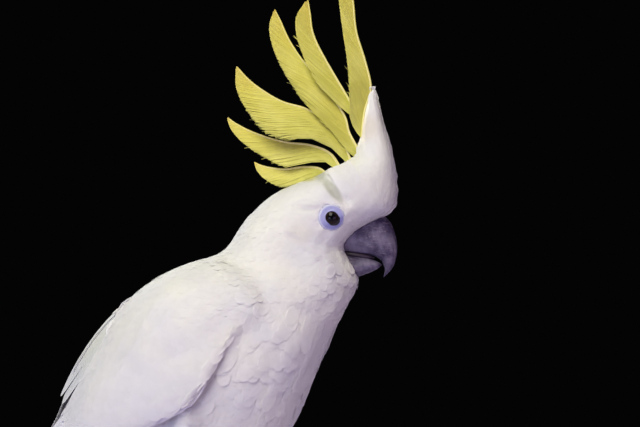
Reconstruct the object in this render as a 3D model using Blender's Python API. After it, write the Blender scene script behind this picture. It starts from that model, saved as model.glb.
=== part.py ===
"""Life-size still model of a white cockatoo with a raised yellow crest.

The bird stands alert on the floor with its tail end resting behind it, and looks along +X.
Its right side is towards -Y, and the floor is the plane Z = 0.  The tables below are in
millimetres, and MM turns them into metres where the shapes are made.

Head, neck and trunk are one closed loft of slices, from the tip of the white forehead plume
down to the tail coverts, parted by two thin cuts.  Wings are shells draped over that loft,
the tail is a curved blade, and each crest feather is a folded vane with its quill in front.
"""
import math

import bmesh
import bpy
from mathutils import Matrix, Vector
from mathutils.bvhtree import BVHTree

MM = 0.001
GAP = 0.3 * MM
SIDES = {"right": -1.0, "left": 1.0}

# Body slices: name, back (x, z), front (x, z), half width, where the slice is widest
# (0 at its back, 1 at its front).
BODY_SLICES = [
    ("plume tip", (159.7, 318.8), (159.7, 318.8), 0.0, 0.5),
    ("plume point", (157.6, 314.0), (161.2, 313.4), 1.6, 0.6),
    ("plume upper", (155.0, 304.0), (163.6, 304.0), 4.0, 0.6),
    ("plume middle", (152.6, 292.0), (167.0, 291.5), 7.0, 0.6),
    ("plume lower", (150.4, 281.0), (170.2, 280.6), 10.0, 0.6),
    ("plume foot", (147.0, 271.0), (172.7, 272.4), 13.5, 0.55),
    ("crown", (130.5, 263.0), (174.2, 264.0), 17.5, 0.55),
    ("hind crown", (113.0, 257.0), (175.0, 255.0), 21.5, 0.5),
    ("brow", (98.0, 250.6), (175.3, 245.4), 24.3, 0.48),
    ("eye line", (86.0, 242.0), (171.4, 236.2), 26.4, 0.48),
    ("lore", (77.0, 232.0), (152.8, 225.8), 27.8, 0.48),
    ("gape", (70.0, 221.2), (139.8, 214.4), 29.0, 0.48),
    ("cheek", (63.6, 211.4), (144.4, 203.6), 30.5, 0.47),
    ("chin", (55.0, 206.0), (149.8, 192.6), 32.6, 0.47),
    ("throat", (42.0, 203.0), (147.0, 182.6), 36.2, 0.47),
    ("mantle", (26.0, 197.0), (141.2, 171.6), 41.5, 0.48),
    ("upper breast", (10.0, 187.0), (134.4, 157.2), 46.2, 0.48),
    ("keel", (-3.5, 171.0), (127.6, 142.8), 49.2, 0.48),
    ("flank", (-12.5, 151.6), (120.2, 124.8), 50.2, 0.48),
    ("belly", (-20.5, 130.6), (111.2, 102.8), 48.6, 0.48),
    ("loin", (-29.0, 111.0), (98.0, 80.8), 45.0, 0.47),
    ("vent", (-39.0, 92.0), (77.0, 62.6), 39.0, 0.45),
    ("rump", (-51.0, 75.5), (50.0, 47.0), 31.5, 0.42),
    ("tail coverts", (-68.0, 61.5), (20.0, 36.0), 24.5, 0.4),
    ("covert ends", (-88.0, 50.5), (-18.0, 27.5), 18.5, 0.4),
    ("covert tips", (-104.0, 42.5), (-62.0, 21.5), 11.0, 0.4),
    ("covert end", (-98.0, 31.0), (-98.0, 31.0), 0.0, 0.5),
]
SLICE_STEPS = 2
SLICE_POINTS = 22
BODY_SQUARENESS = 2.15

# Soft swellings and hollows of the body: (x, y on each side, z), spread, height.
SWELLINGS = [
    ((128.0, 25.0, 246.0), 7.0, 1.3),      # brow over the eye
    ((150.0, 18.0, 232.0), 7.0, -1.2),     # hollow of the lores
    ((134.0, 28.0, 207.0), 13.0, 2.6),     # cheek feathers beside the bill
    ((116.0, 28.0, 222.0), 9.0, -0.8),     # hollow behind the cheek
    ((104.0, 40.0, 150.0), 24.0, 2.2),     # breast beside the wing
]

# Cuts between head, neck and trunk: a point (x, z) and the direction the cut faces.
NECK_TOP_CUT = ((80.0, 233.0), (0.627, 0.779))
NECK_BASE_CUT = ((52.0, 206.0), (0.438, 0.899))

# Wing stations: name, top edge (x, z), bottom edge (x, z), half spread, thickness.
WING_STATIONS = [
    ("shoulder", (63.0, 205.0), (87.0, 182.0), 38.0, 1.2),
    ("wrist", (40.0, 205.0), (84.0, 171.5), 47.0, 5.0),
    ("small coverts", (15.0, 194.0), (69.0, 157.5), 54.0, 7.0),
    ("great coverts", (-7.0, 177.0), (56.0, 136.0), 58.0, 7.0),
    ("elbow", (-19.0, 154.0), (42.0, 114.5), 59.0, 6.5),
    ("inner quills", (-34.0, 127.0), (12.0, 98.5), 55.0, 6.0),
    ("middle quills", (-51.5, 95.5), (-15.0, 79.0), 47.0, 5.5),
    ("outer quills", (-66.5, 75.0), (-40.0, 61.5), 38.0, 5.0),
    ("long quills", (-88.0, 57.5), (-68.0, 46.0), 30.0, 4.0),
    ("quill ends", (-118.0, 43.0), (-104.0, 34.0), 22.0, 3.0),
    ("wing tip", (-150.0, 27.5), (-146.0, 23.5), 9.0, 1.4),
]
WING_STEPS = 2
WING_POINTS = 9
WING_TOP_ANGLE = math.radians(10.0)
WING_EDGE_THICKNESS = 1.0
WING_CLEARANCE = 1.6
LEFT_WING_LIFT = 11.0
LEFT_WING_LIFT_RISE = (0.25, 0.42)
LEFT_WING_LIFT_FALL = (0.51, 0.61)

# Tail blade stations: name, middle (x, z), half width, half thickness, droop of its sides.
TAIL_STATIONS = [
    ("root", (-50.0, 51.0), 17.0, 5.0, 2.0),
    ("upper", (-80.0, 40.0), 22.0, 3.8, 3.0),
    ("middle", (-112.0, 27.4), 26.0, 2.6, 3.2),
    ("lower", (-142.0, 14.0), 28.5, 1.9, 2.4),
    ("end", (-165.0, 3.0), 28.0, 1.6, 1.0),
    ("tip", (-175.8, 0.7), 21.0, 1.3, 0.2),
]
TAIL_STEPS = 2
TAIL_POINTS = 14
TAIL_FLAT_RISE = 0.6

# Crest feathers, front to back: points (x, z) along the quill from the crown to the tip,
# each with the width of the vane behind it.
CREST_FEATHERS = {
    "crest_1": [(152.6, 285.5, 1.5), (152.9, 294.0, 8.0), (154.6, 305.0, 12.0), (158.3, 318.2, 15.4),
                (154.2, 336.6, 12.4), (148.4, 355.7, 9.2), (146.2, 376.2, 9.6), (142.6, 391.0, 8.0),
                (139.2, 398.0, 1.0)],
    "crest_2": [(149.2, 298.0, 2.5), (146.0, 306.5, 7.0), (136.6, 322.4, 13.0), (128.7, 336.0, 13.5),
                (122.6, 347.5, 12.0), (119.2, 357.0, 11.2), (118.0, 367.0, 9.4), (116.6, 375.4, 2.0)],
    "crest_3": [(152.6, 270.0, 6.0), (149.0, 279.0, 7.0), (143.8, 289.0, 10.0), (140.4, 300.6, 16.0),
                (125.5, 323.2, 19.0), (112.9, 336.6, 15.5), (103.8, 350.5, 12.4), (98.4, 362.6, 8.4),
                (95.0, 369.4, 1.5)],
    "crest_4": [(146.4, 266.0, 14.0), (140.6, 281.0, 18.5), (131.0, 294.6, 24.0), (116.2, 304.0, 25.5),
                (100.0, 308.8, 24.0), (87.0, 316.2, 18.0), (77.6, 323.4, 11.5), (70.2, 331.4, 1.5)],
    "crest_5": [(139.8, 262.0, 9.0), (132.0, 274.4, 14.5), (119.0, 280.2, 16.4), (104.0, 282.0, 16.6),
                (91.0, 285.0, 13.4), (79.0, 289.4, 10.0), (70.0, 294.0, 6.0), (64.2, 298.0, 1.2)],
    "crest_6": [(131.6, 258.0, 5.0), (125.0, 264.6, 8.5), (114.5, 266.0, 11.5), (102.0, 264.4, 12.2),
                (92.4, 265.2, 9.4), (86.0, 266.8, 5.4), (82.0, 268.6, 1.0)],
}
CREST_STEPS = 2
VANE_WALL = 0.7
VANE_SPREAD = math.radians(23.0)
# Sideways lean of each crest feather from its base, in degrees.
CREST_LEANS = {"crest_1": 0.5, "crest_2": 1.0, "crest_3": 1.8, "crest_4": -1.2, "crest_5": 1.0,
               "crest_6": -1.0}

# Upper and lower bill: ridge (x, z), cutting edge (x, z), half width.
BILL_UPPER = [
    ((158.0, 236.0), (132.0, 211.4), 10.6),
    ((168.4, 232.8), (143.0, 208.9), 10.6),
    ((172.6, 227.0), (151.0, 208.3), 10.0),
    ((174.9, 219.4), (157.6, 207.8), 8.8),
    ((175.8, 211.8), (162.4, 206.2), 7.4),
    ((175.0, 206.0), (165.4, 203.8), 6.0),
    ((173.4, 200.8), (167.0, 200.2), 4.2),
    ((170.4, 196.6), (167.5, 197.2), 2.4),
    ((166.0, 192.3), (166.0, 192.3), 0.0),
]
BILL_LOWER = [
    ((132.0, 195.0), (134.0, 209.9), 9.6),
    ((146.0, 192.8), (146.0, 207.9), 9.4),
    ((153.6, 194.8), (153.6, 206.9), 8.8),
    ((159.4, 197.0), (159.0, 205.3), 7.8),
    ((163.4, 199.2), (163.2, 203.3), 6.0),
    ((165.6, 201.5), (165.6, 201.5), 0.0),
]
BILL_STEPS = 2
BILL_POINTS = 12
BILL_ROUNDNESS = 2.2

EYE_PLACE = (132.3, 21.0, 232.7)
EYE_RADIUS = 7.0
EYE_SEGMENTS = 14
EYE_RINGS = 8

# Thigh stations: name, centre (x, y on each side, z), half length along X, half width.
THIGH_STATIONS = [
    ("top", (39.0, 37.0, 124.0), 7.0, 8.0),
    ("hip", (39.0, 39.0, 112.0), 11.5, 13.5),
    ("middle", (39.5, 38.0, 90.0), 13.5, 13.5),
    ("knee feathers", (41.0, 33.5, 65.0), 12.5, 11.0),
    ("boot", (41.0, 30.5, 46.0), 9.0, 8.6),
    ("boot end", (41.5, 29.0, 34.0), 6.6, 6.4),
]
THIGH_STEPS = 2
THIGH_POINTS = 14

FOOT_X = 50.0
FOOT_Y = 28.0
FOOT_HUB_HEIGHT = 7.0
ANKLE = (-9.0, 0.6, 40.0)
TARSUS_RADII = (4.2, 3.7, 4.2, 5.2)
# Toes: name, direction from +X turned outwards (degrees), length, radius, joints.
TOES = [
    ("outer_front", 11.0, 41.0, 4.0, 4),
    ("inner_front", -21.0, 31.0, 3.8, 3),
    ("outer_back", 155.0, 36.0, 3.8, 4),
    ("inner_back", -152.0, 20.0, 3.5, 2),
]
TOE_STEPS = 6
TUBE_POINTS = 8
CLAW_POINTS = 6
SOLE_DEPTH = 0.8
CLAW_RADIUS = 2.5
CLAW_LENGTH_SHARE = 0.36
CLAW_START_TILT = math.radians(22.0)
CLAW_END_TILT = math.radians(-62.0)
CLAW_STEPS = 5
CLAW_FLOOR_CLEARANCE = 0.25

# Finishes: colour, roughness, metallic.
FINISHES = {
    "white_plumage": ((0.86, 0.85, 0.83), 0.8, 0.0),
    "yellow_crest": ((0.80, 0.72, 0.20), 0.7, 0.0),
    "grey_bill": ((0.10, 0.10, 0.12), 0.45, 0.0),
    "dark_eye": ((0.01, 0.01, 0.015), 0.08, 0.0),
    "grey_foot": ((0.13, 0.13, 0.14), 0.7, 0.0),
    "dark_claw": ((0.05, 0.05, 0.055), 0.4, 0.0),
}


def clear_scene():
    """Remove every object that the file starts with."""
    for thing in list(bpy.data.objects):
        bpy.data.objects.remove(thing, do_unlink=True)


def finish(slot):
    """Return the Principled material of one finish, made on first use."""
    material = bpy.data.materials.get(slot)
    if material is None:
        colour, roughness, metallic = FINISHES[slot]
        material = bpy.data.materials.new(slot)
        material.use_nodes = True
        shader = material.node_tree.nodes["Principled BSDF"]
        shader.inputs["Base Color"].default_value = (*colour, 1.0)
        shader.inputs["Roughness"].default_value = roughness
        shader.inputs["Metallic"].default_value = metallic
    return material


def point(x, y, z):
    """Turn a place in millimetres into a vector in metres."""
    return Vector((x, y, z)) * MM


def smooth_rows(rows, steps):
    """Rows of numbers run through a Catmull-Rom curve, with `steps` rows for each given one."""
    result = []
    last = len(rows) - 1
    for i in range(last):
        before = rows[max(i - 1, 0)]
        start = rows[i]
        end = rows[i + 1]
        after = rows[min(i + 2, last)]
        for step in range(steps):
            t = step / steps
            result.append(tuple(
                0.5 * (2 * b + (c - a) * t + (2 * a - 5 * b + 4 * c - d) * t ** 2
                       + (3 * b - a - 3 * c + d) * t ** 3)
                for a, b, c, d in zip(before, start, end, after)))
    result.append(tuple(rows[last]))
    return result


def rounded(value, power):
    """A cosine or sine pushed outwards, for a superellipse."""
    return math.copysign(abs(value) ** (2.0 / power), value)


def loft(rings):
    """A closed bmesh through rings of points; a ring of one point is a pole."""
    bm = bmesh.new()
    made = [[bm.verts.new(p) for p in ring] for ring in rings]
    for low, high in zip(made, made[1:]):
        count = max(len(low), len(high))
        for i in range(count):
            j = (i + 1) % count
            if len(low) == 1:
                bm.faces.new((low[0], high[i], high[j]))
            elif len(high) == 1:
                bm.faces.new((low[i], low[j], high[0]))
            else:
                bm.faces.new((low[i], low[j], high[j], high[i]))
    for end in (made[0], made[-1]):
        if len(end) > 1:
            bm.faces.new(end)
    bmesh.ops.recalc_face_normals(bm, faces=bm.faces)
    return bm


def add_piece(name, bm, slot):
    """Put a bmesh into the scene as one named, smooth shaded object."""
    bmesh.ops.triangulate(bm, faces=bm.faces)
    mesh = bpy.data.meshes.new(name)
    bm.to_mesh(mesh)
    bm.free()
    mesh.materials.append(finish(slot))
    mesh.shade_smooth()
    mesh.set_sharp_from_angle(angle=math.radians(40.0))
    piece = bpy.data.objects.new(name, mesh)
    bpy.context.scene.collection.objects.link(piece)
    return piece


def swollen_copy(piece, distance):
    """A cutter: the piece with its surface moved outwards by a distance."""
    bm = bmesh.new()
    bm.from_mesh(piece.data)
    bm.normal_update()
    moves = [v.normal * distance for v in bm.verts]
    for vert, move in zip(bm.verts, moves):
        vert.co += move
    mesh = bpy.data.meshes.new(piece.name + "_cutter")
    bm.to_mesh(mesh)
    bm.free()
    cutter = bpy.data.objects.new(piece.name + "_cutter", mesh)
    cutter.hide_render = True
    cutter.display_type = "WIRE"
    bpy.context.scene.collection.objects.link(cutter)
    return cutter


def keep_largest_part(mesh):
    """Drop all loose islands of a mesh but the one with the most faces."""
    bm = bmesh.new()
    bm.from_mesh(mesh)
    bmesh.ops.remove_doubles(bm, verts=bm.verts, dist=1e-7)
    left = set(bm.verts)
    islands = []
    while left:
        island = set()
        front = [left.pop()]
        while front:
            vert = front.pop()
            island.add(vert)
            for edge in vert.link_edges:
                other = edge.other_vert(vert)
                if other in left:
                    left.remove(other)
                    front.append(other)
        islands.append(island)
    islands.sort(key=len)
    for island in islands[:-1]:
        bmesh.ops.delete(bm, geom=list(island), context="VERTS")
    bmesh.ops.triangulate(bm, faces=bm.faces)
    bm.to_mesh(mesh)
    bm.free()


def join_or_cut(piece, tool, operation):
    """Apply one Boolean to a piece and remove the tool."""
    modifier = piece.modifiers.new(operation.lower(), "BOOLEAN")
    modifier.operation = operation
    modifier.solver = "EXACT"
    modifier.object = tool
    graph = bpy.context.evaluated_depsgraph_get()
    made = bpy.data.meshes.new_from_object(piece.evaluated_get(graph))
    piece.modifiers.remove(modifier)
    piece.data = made
    keep_largest_part(made)
    bpy.data.objects.remove(tool, do_unlink=True)


def carve(piece, neighbours):
    """Cut a piece back until it clears its neighbours by the thin gap."""
    for neighbour in neighbours:
        join_or_cut(piece, swollen_copy(neighbour, GAP), "DIFFERENCE")


def body_ring(row):
    """One slice of the body, or its pole where the slice has no width."""
    back_x, back_z, front_x, front_z, half_width, widest = row
    if half_width <= 0.0:
        return [point(back_x, 0.0, back_z)]
    ring = []
    for i in range(SLICE_POINTS):
        angle = 2.0 * math.pi * i / SLICE_POINTS
        along = rounded(math.cos(angle), BODY_SQUARENESS)
        across = rounded(math.sin(angle), BODY_SQUARENESS)
        share = widest + along * (1.0 - widest if along > 0.0 else widest)
        ring.append(point(back_x + (front_x - back_x) * share, half_width * across,
                          back_z + (front_z - back_z) * share))
    return ring


def body_loft():
    """Head, neck and trunk as one closed form, before the cuts."""
    rows = [(*back, *front, half, widest) for _, back, front, half, widest in BODY_SLICES]
    bm = loft([body_ring(row) for row in smooth_rows(rows, SLICE_STEPS)])
    bm.normal_update()
    moves = []
    for vert in bm.verts:
        move = Vector()
        for (x, y, z), spread, height in SWELLINGS:
            for side in SIDES.values():
                away = (vert.co - point(x, y * side, z)).length / (spread * MM)
                move += vert.normal * height * MM * math.exp(-0.5 * away ** 2)
        moves.append(move)
    for vert, move in zip(bm.verts, moves):
        vert.co += move
    return bm


def cut_body(body, cuts):
    """A copy of the body kept on the inner side of each cut, with the openings closed."""
    bm = body.copy()
    for (x, z), (facing_x, facing_z), keep_facing in cuts:
        facing = Vector((facing_x, 0.0, facing_z)).normalized()
        inward = facing if keep_facing else -facing
        place = point(x, 0.0, z) + inward * GAP / 2.0
        bmesh.ops.bisect_plane(bm, geom=bm.verts[:] + bm.edges[:] + bm.faces[:], dist=1e-9,
                               plane_co=place, plane_no=-inward, clear_outer=True)
        rim = [edge for edge in bm.edges if edge.is_boundary]
        bmesh.ops.edgeloop_fill(bm, edges=rim)
    bmesh.ops.recalc_face_normals(bm, faces=bm.faces)
    return bm


def add_body():
    """Head, neck and trunk, parted by two thin cuts."""
    body = body_loft()
    pieces = {
        "head": cut_body(body, [(*NECK_TOP_CUT, True)]),
        "neck": cut_body(body, [(*NECK_TOP_CUT, False), (*NECK_BASE_CUT, True)]),
        "trunk": cut_body(body, [(*NECK_BASE_CUT, False)]),
    }
    whole = BVHTree.FromBMesh(body)
    body.free()
    return {name: add_piece(name, bm, "white_plumage") for name, bm in pieces.items()}, whole


def add_tail(trunk):
    """The tail as one arched blade, flat where its end lies on the floor."""
    rows = [(*middle, half, thick, droop) for _, middle, half, thick, droop in TAIL_STATIONS]
    rings = []
    for x, z, half, thick, droop in smooth_rows(rows, TAIL_STEPS):
        ring = []
        for i in range(TAIL_POINTS):
            angle = 2.0 * math.pi * i / TAIL_POINTS
            across = rounded(math.cos(angle), 2.4)
            height = z + thick * math.sin(angle) - droop * across ** 2
            ring.append(point(x, half * across, max(height, -TAIL_FLAT_RISE)))
        rings.append(ring)
    bm = loft(rings)
    flatten_sole(bm)
    tail = add_piece("tail", bm, "white_plumage")
    carve(tail, [trunk])
    return tail


def flatten_sole(bm):
    """Cut off what lies below the floor and close the cut with one flat face."""
    bmesh.ops.bisect_plane(bm, geom=bm.verts[:] + bm.edges[:] + bm.faces[:], dist=1e-9,
                           plane_co=(0.0, 0.0, 0.0), plane_no=(0.0, 0.0, -1.0), clear_outer=True)
    rim = [edge for edge in bm.edges if edge.is_boundary]
    bmesh.ops.holes_fill(bm, edges=rim, sides=0)
    bmesh.ops.recalc_face_normals(bm, faces=bm.faces)


def surface_radius(trees, centre, direction):
    """How far out from a centre the given surfaces reach along a direction."""
    reach = 0.2
    radius = 0.0
    for tree in trees:
        hit, _, _, _ = tree.ray_cast(centre + direction * reach, -direction, reach)
        if hit is not None:
            radius = max(radius, (hit - centre).length)
    return radius


def ease(value, start, end):
    """Rise smoothly from 0 at the start to 1 at the end."""
    t = min(max((value - start) / (end - start), 0.0), 1.0)
    return t * t * (3.0 - 2.0 * t)


def wing_lift(share):
    """How much higher the shoulder feathers of the left wing are carried, along its length."""
    return LEFT_WING_LIFT * ease(share, *LEFT_WING_LIFT_RISE) * (1.0 - ease(share, *LEFT_WING_LIFT_FALL))


def add_wing(side_name, trees):
    """A folded wing: a shell that follows the body and runs on beside the tail."""
    side = SIDES[side_name]
    rows = [(*top, *bottom, spread, thick) for _, top, bottom, spread, thick in WING_STATIONS]
    rows = smooth_rows(rows, WING_STEPS)
    rings = []
    for step, (top_x, top_z, low_x, low_z, spread, thick) in enumerate(rows):
        share = step / (len(rows) - 1)
        centre = point(low_x, 0.0, low_z)
        upward = point(top_x, 0.0, top_z) - centre
        depth = upward.length
        upward.normalize()
        outer = []
        inner = []
        for i in range(WING_POINTS):
            v = i / (WING_POINTS - 1)
            angle = WING_TOP_ANGLE + (0.5 * math.pi - WING_TOP_ANGLE) * v
            direction = upward * math.cos(angle) + Vector((0.0, side, 0.0)) * math.sin(angle)
            guide = 1.0 / math.hypot(math.cos(angle) / depth, math.sin(angle) / (spread * MM))
            wall = MM * (WING_EDGE_THICKNESS + (thick - WING_EDGE_THICKNESS) * math.sin(math.pi * v))
            if side_name == "left":
                guide += MM * wing_lift(share) * math.cos(angle) ** 2
            body = surface_radius(trees, centre, direction) + WING_CLEARANCE * MM
            outer_radius = max(guide, body + wall)
            inner_radius = max(guide - wall, body)
            outer.append(centre + direction * outer_radius)
            inner.append(centre + direction * inner_radius)
        rings.append(outer + inner[::-1])
    return add_piece("wing_" + side_name, loft(rings), "white_plumage")


def vane_ring(place, rearward, width):
    """The folded section of one crest feather: two thin webs behind a shared quill."""
    wall = VANE_WALL * MM
    reach = max(width * MM, 3.0 * wall)
    side = Vector((0.0, 1.0, 0.0))
    fold = rearward * wall / math.sin(VANE_SPREAD)
    sweeps = [rearward * math.cos(VANE_SPREAD) + side * way * math.sin(VANE_SPREAD)
              for way in (1.0, -1.0)]
    outer = [place + sweep * reach for sweep in sweeps]
    inner = [place + fold + sweep * (reach - wall) for sweep in sweeps]
    return [place, outer[0], inner[0], place + fold, inner[1], outer[1]]


def add_crest_feather(name, row, head):
    """One crest feather: a vane folded along its quill, standing on the crown."""
    path = smooth_rows(row, CREST_STEPS)
    lean = math.tan(math.radians(CREST_LEANS[name]))
    base_height = row[0][1]
    rings = []
    for i, (x, z, width) in enumerate(path):
        ahead = path[min(i + 1, len(path) - 1)]
        behind = path[max(i - 1, 0)]
        run = Vector((ahead[0] - behind[0], 0.0, ahead[1] - behind[1])).normalized()
        rearward = Vector((-run.z, 0.0, run.x))
        aside = lean * math.hypot(x - row[0][0], z - base_height)
        rings.append(vane_ring(point(x, aside, z), rearward, width))
    feather = add_piece(name, loft(rings), "yellow_crest")
    carve(feather, [head])
    return feather


def bill_half(rows):
    """One half of the bill, lofted from ridge to cutting edge towards its tip."""
    flat = [(*ridge, *edge, half) for ridge, edge, half in rows]
    rings = []
    for ridge_x, ridge_z, edge_x, edge_z, half in smooth_rows(flat, BILL_STEPS):
        if half <= 0.05:
            continue
        middle = point((ridge_x + edge_x) / 2.0, 0.0, (ridge_z + edge_z) / 2.0)
        up = point((ridge_x - edge_x) / 2.0, 0.0, (ridge_z - edge_z) / 2.0)
        ring = []
        for i in range(BILL_POINTS):
            angle = 2.0 * math.pi * i / BILL_POINTS
            across = rounded(math.cos(angle), BILL_ROUNDNESS) * half * MM
            ring.append(middle + up * rounded(math.sin(angle), 1.9) + Vector((0.0, across, 0.0)))
        rings.append(ring)
    (tip_x, tip_z), _, _ = rows[-1]
    rings.append([point(tip_x, 0.0, tip_z)])
    return loft(rings)


def add_bill(head):
    """Upper and lower bill, slightly parted, set against the feathered face."""
    upper = add_piece("bill_upper", bill_half(BILL_UPPER), "grey_bill")
    carve(upper, [head])
    lower = add_piece("bill_lower", bill_half(BILL_LOWER), "grey_bill")
    carve(lower, [head, upper])


def add_eye(side_name, head):
    """An eyeball in a socket cut into the head."""
    x, y, z = EYE_PLACE
    bm = bmesh.new()
    bmesh.ops.create_uvsphere(bm, u_segments=EYE_SEGMENTS, v_segments=EYE_RINGS,
                              radius=EYE_RADIUS * MM)
    poles_sideways = Matrix.Rotation(math.radians(90.0), 3, "X")
    bmesh.ops.rotate(bm, verts=bm.verts, matrix=poles_sideways, cent=(0.0, 0.0, 0.0))
    bmesh.ops.translate(bm, verts=bm.verts, vec=point(x, y * SIDES[side_name], z))
    eye = add_piece("eye_" + side_name, bm, "dark_eye")
    carve(head, [eye])


def add_thigh(side_name, neighbours):
    """A feathered thigh, from the flank down to the ankle."""
    side = SIDES[side_name]
    rows = [(*centre, length, width) for _, centre, length, width in THIGH_STATIONS]
    rings = []
    for x, y, z, length, width in smooth_rows(rows, THIGH_STEPS):
        ring = []
        for i in range(THIGH_POINTS):
            angle = 2.0 * math.pi * i / THIGH_POINTS
            ring.append(point(x + length * math.cos(angle), y * side + width * math.sin(angle), z))
        rings.append(ring)
    thigh = add_piece("thigh_" + side_name, loft(rings), "white_plumage")
    carve(thigh, neighbours)
    return thigh


def tube(places, radii, sides=TUBE_POINTS):
    """A round tube through places, with one radius at each."""
    rings = []
    for i, place in enumerate(places):
        run = places[min(i + 1, len(places) - 1)] - places[max(i - 1, 0)]
        run.normalize()
        across = run.cross(Vector((0.0, 1.0, 0.0)) if abs(run.y) < 0.9 else Vector((1.0, 0.0, 0.0)))
        across.normalize()
        beside = run.cross(across)
        ring = []
        for k in range(sides):
            angle = 2.0 * math.pi * k / sides
            ring.append(place + (across * math.cos(angle) + beside * math.sin(angle)) * radii[i])
        rings.append(ring)
    return loft(rings)


def toe_direction(side, degrees):
    """Flat direction of a toe, turned outwards from +X."""
    angle = math.radians(degrees)
    return Vector((math.cos(angle), side * math.sin(angle), 0.0))


def toe_tube(hub, direction, length, radius, joints):
    """One toe, from the foot's hub down to the floor and along it, swollen at its pads."""
    places = []
    radii = []
    for i in range(TOE_STEPS + 1):
        t = i / TOE_STEPS
        pad = 1.0 + 0.09 * math.cos(2.0 * math.pi * joints * t)
        size = radius * (1.12 - 0.32 * t) * pad * MM
        low = size - SOLE_DEPTH * MM
        fall = min(t / 0.3, 1.0)
        height = hub.z * (1.0 - fall) ** 2 + low * (1.0 - (1.0 - fall) ** 2)
        places.append(Vector((hub.x, hub.y, height)) + direction * length * t * MM)
        radii.append(size)
    return tube(places, radii), places[-1], radii[-1]


def claw_tube(start, direction, length, radius):
    """One claw: a tapered arc from the toe's end down to the floor."""
    places = [start - direction * radius]
    tilts = [CLAW_START_TILT + (CLAW_END_TILT - CLAW_START_TILT) * i / (CLAW_STEPS - 1)
             for i in range(CLAW_STEPS)]
    for tilt in tilts:
        step = direction * math.cos(tilt) + Vector((0.0, 0.0, math.sin(tilt)))
        places.append(places[-1] + step * length / CLAW_STEPS)
    radii = [radius * (1.0 - 0.93 * (i / CLAW_STEPS) ** 1.3) for i in range(CLAW_STEPS + 1)]
    lift = CLAW_FLOOR_CLEARANCE * MM + radii[-1] - places[-1].z
    return tube([place + Vector((0.0, 0.0, lift)) for place in places], radii, CLAW_POINTS)


def add_foot(side_name, thigh):
    """A foot with two toes forward and two back, on a flat sole, with its four claws."""
    side = SIDES[side_name]
    hub = point(FOOT_X, FOOT_Y * side, FOOT_HUB_HEIGHT)
    ankle = hub + point(ANKLE[0], ANKLE[1] * side, ANKLE[2] - FOOT_HUB_HEIGHT)
    shares = [i / (len(TARSUS_RADII) - 1) for i in range(len(TARSUS_RADII))]
    shank = tube([ankle.lerp(hub, share) for share in shares], [r * MM for r in TARSUS_RADII])
    foot = add_piece("foot_" + side_name, shank, "grey_foot")
    ends = []
    for name, degrees, length, radius, joints in TOES:
        direction = toe_direction(side, degrees)
        bm, tip, tip_radius = toe_tube(hub, direction, length, radius, joints)
        join_or_cut(foot, add_piece("toe_" + name, bm, "grey_foot"), "UNION")
        ends.append((name, direction, length, tip, tip_radius))
    bm = bmesh.new()
    bm.from_mesh(foot.data)
    flatten_sole(bm)
    bmesh.ops.triangulate(bm, faces=bm.faces)
    bm.to_mesh(foot.data)
    bm.free()
    carve(foot, [thigh])
    for name, direction, length, tip, tip_radius in ends:
        size = min(CLAW_RADIUS * MM, tip_radius * 0.85)
        claw = claw_tube(tip, direction, length * CLAW_LENGTH_SHARE * MM, size)
        claw = add_piece("claw_" + side_name + "_" + name, claw, "dark_claw")
        carve(claw, [foot])


def build():
    """Make every piece of the bird."""
    clear_scene()
    body, whole = add_body()
    tail = add_tail(body["trunk"])
    tail_surface = BVHTree.FromObject(tail, bpy.context.evaluated_depsgraph_get())
    for name, row in CREST_FEATHERS.items():
        add_crest_feather(name, row, body["head"])
    add_bill(body["head"])
    for side_name in SIDES:
        add_eye(side_name, body["head"])
        wing = add_wing(side_name, (whole, tail_surface))
        thigh = add_thigh(side_name, (body["trunk"], wing))
        add_foot(side_name, thigh)


build()
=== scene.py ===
# %% [markdown]
# # A white cockatoo with a raised yellow crest, life size
#
# A museum's still model of a bird is made from the inside out: a body form first, then a skin
# over it, then the feathers laid in rows from the tail end forward, and last the bill, the eyes
# and the feet.  This lesson follows that order.  The body forms, one solid for each part of the
# bird, come packed in a frame, and everything made here is laid on them in the same metres.
# We load the frame before anything else.

import math

import bmesh
import bpy
import numpy as np
from mathutils import Matrix, Vector, noise
from mathutils.bvhtree import BVHTree


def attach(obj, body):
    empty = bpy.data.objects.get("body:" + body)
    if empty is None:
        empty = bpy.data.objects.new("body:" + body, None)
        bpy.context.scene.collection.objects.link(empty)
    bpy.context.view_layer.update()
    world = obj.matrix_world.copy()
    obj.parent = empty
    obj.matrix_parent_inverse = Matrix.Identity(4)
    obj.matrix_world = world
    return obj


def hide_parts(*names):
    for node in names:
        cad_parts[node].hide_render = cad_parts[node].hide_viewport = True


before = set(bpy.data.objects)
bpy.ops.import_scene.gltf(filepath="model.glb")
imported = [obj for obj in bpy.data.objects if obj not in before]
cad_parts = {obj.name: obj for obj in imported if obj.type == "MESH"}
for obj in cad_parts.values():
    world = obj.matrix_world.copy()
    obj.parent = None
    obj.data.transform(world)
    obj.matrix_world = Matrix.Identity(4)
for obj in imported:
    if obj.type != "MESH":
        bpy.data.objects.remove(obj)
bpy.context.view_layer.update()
MM = 0.001
SIDES = {"right": -1.0, "left": 1.0}
print("body forms:", len(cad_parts))

# %% [markdown]
# ## Shader sums written as sums
#
# A finish is a tree of shader nodes.  They could be wired one by one, but a sum such as
# "noise times three plus a half" then takes a dozen lines.  A small class that wraps a socket
# and answers to +, -, * and / lets us write the sum as a sum, and adds the Math nodes itself.

# %% A socket that can be added and multiplied
class Wire:
    """One output of a node, which Python's operators turn into Math nodes."""

    def __init__(self, finish, socket):
        self.finish = finish
        self.socket = socket

    def out(self, name):
        return Wire(self.finish, self.socket.node.outputs[name])

    def math(self, operation, first, second=0.0):
        return self.finish.node("ShaderNodeMath", {"operation": operation}, {0: first, 1: second})

    def size(self):
        return self.math("ABSOLUTE", self)

    def sine(self):
        return self.math("SINE", self)


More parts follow.
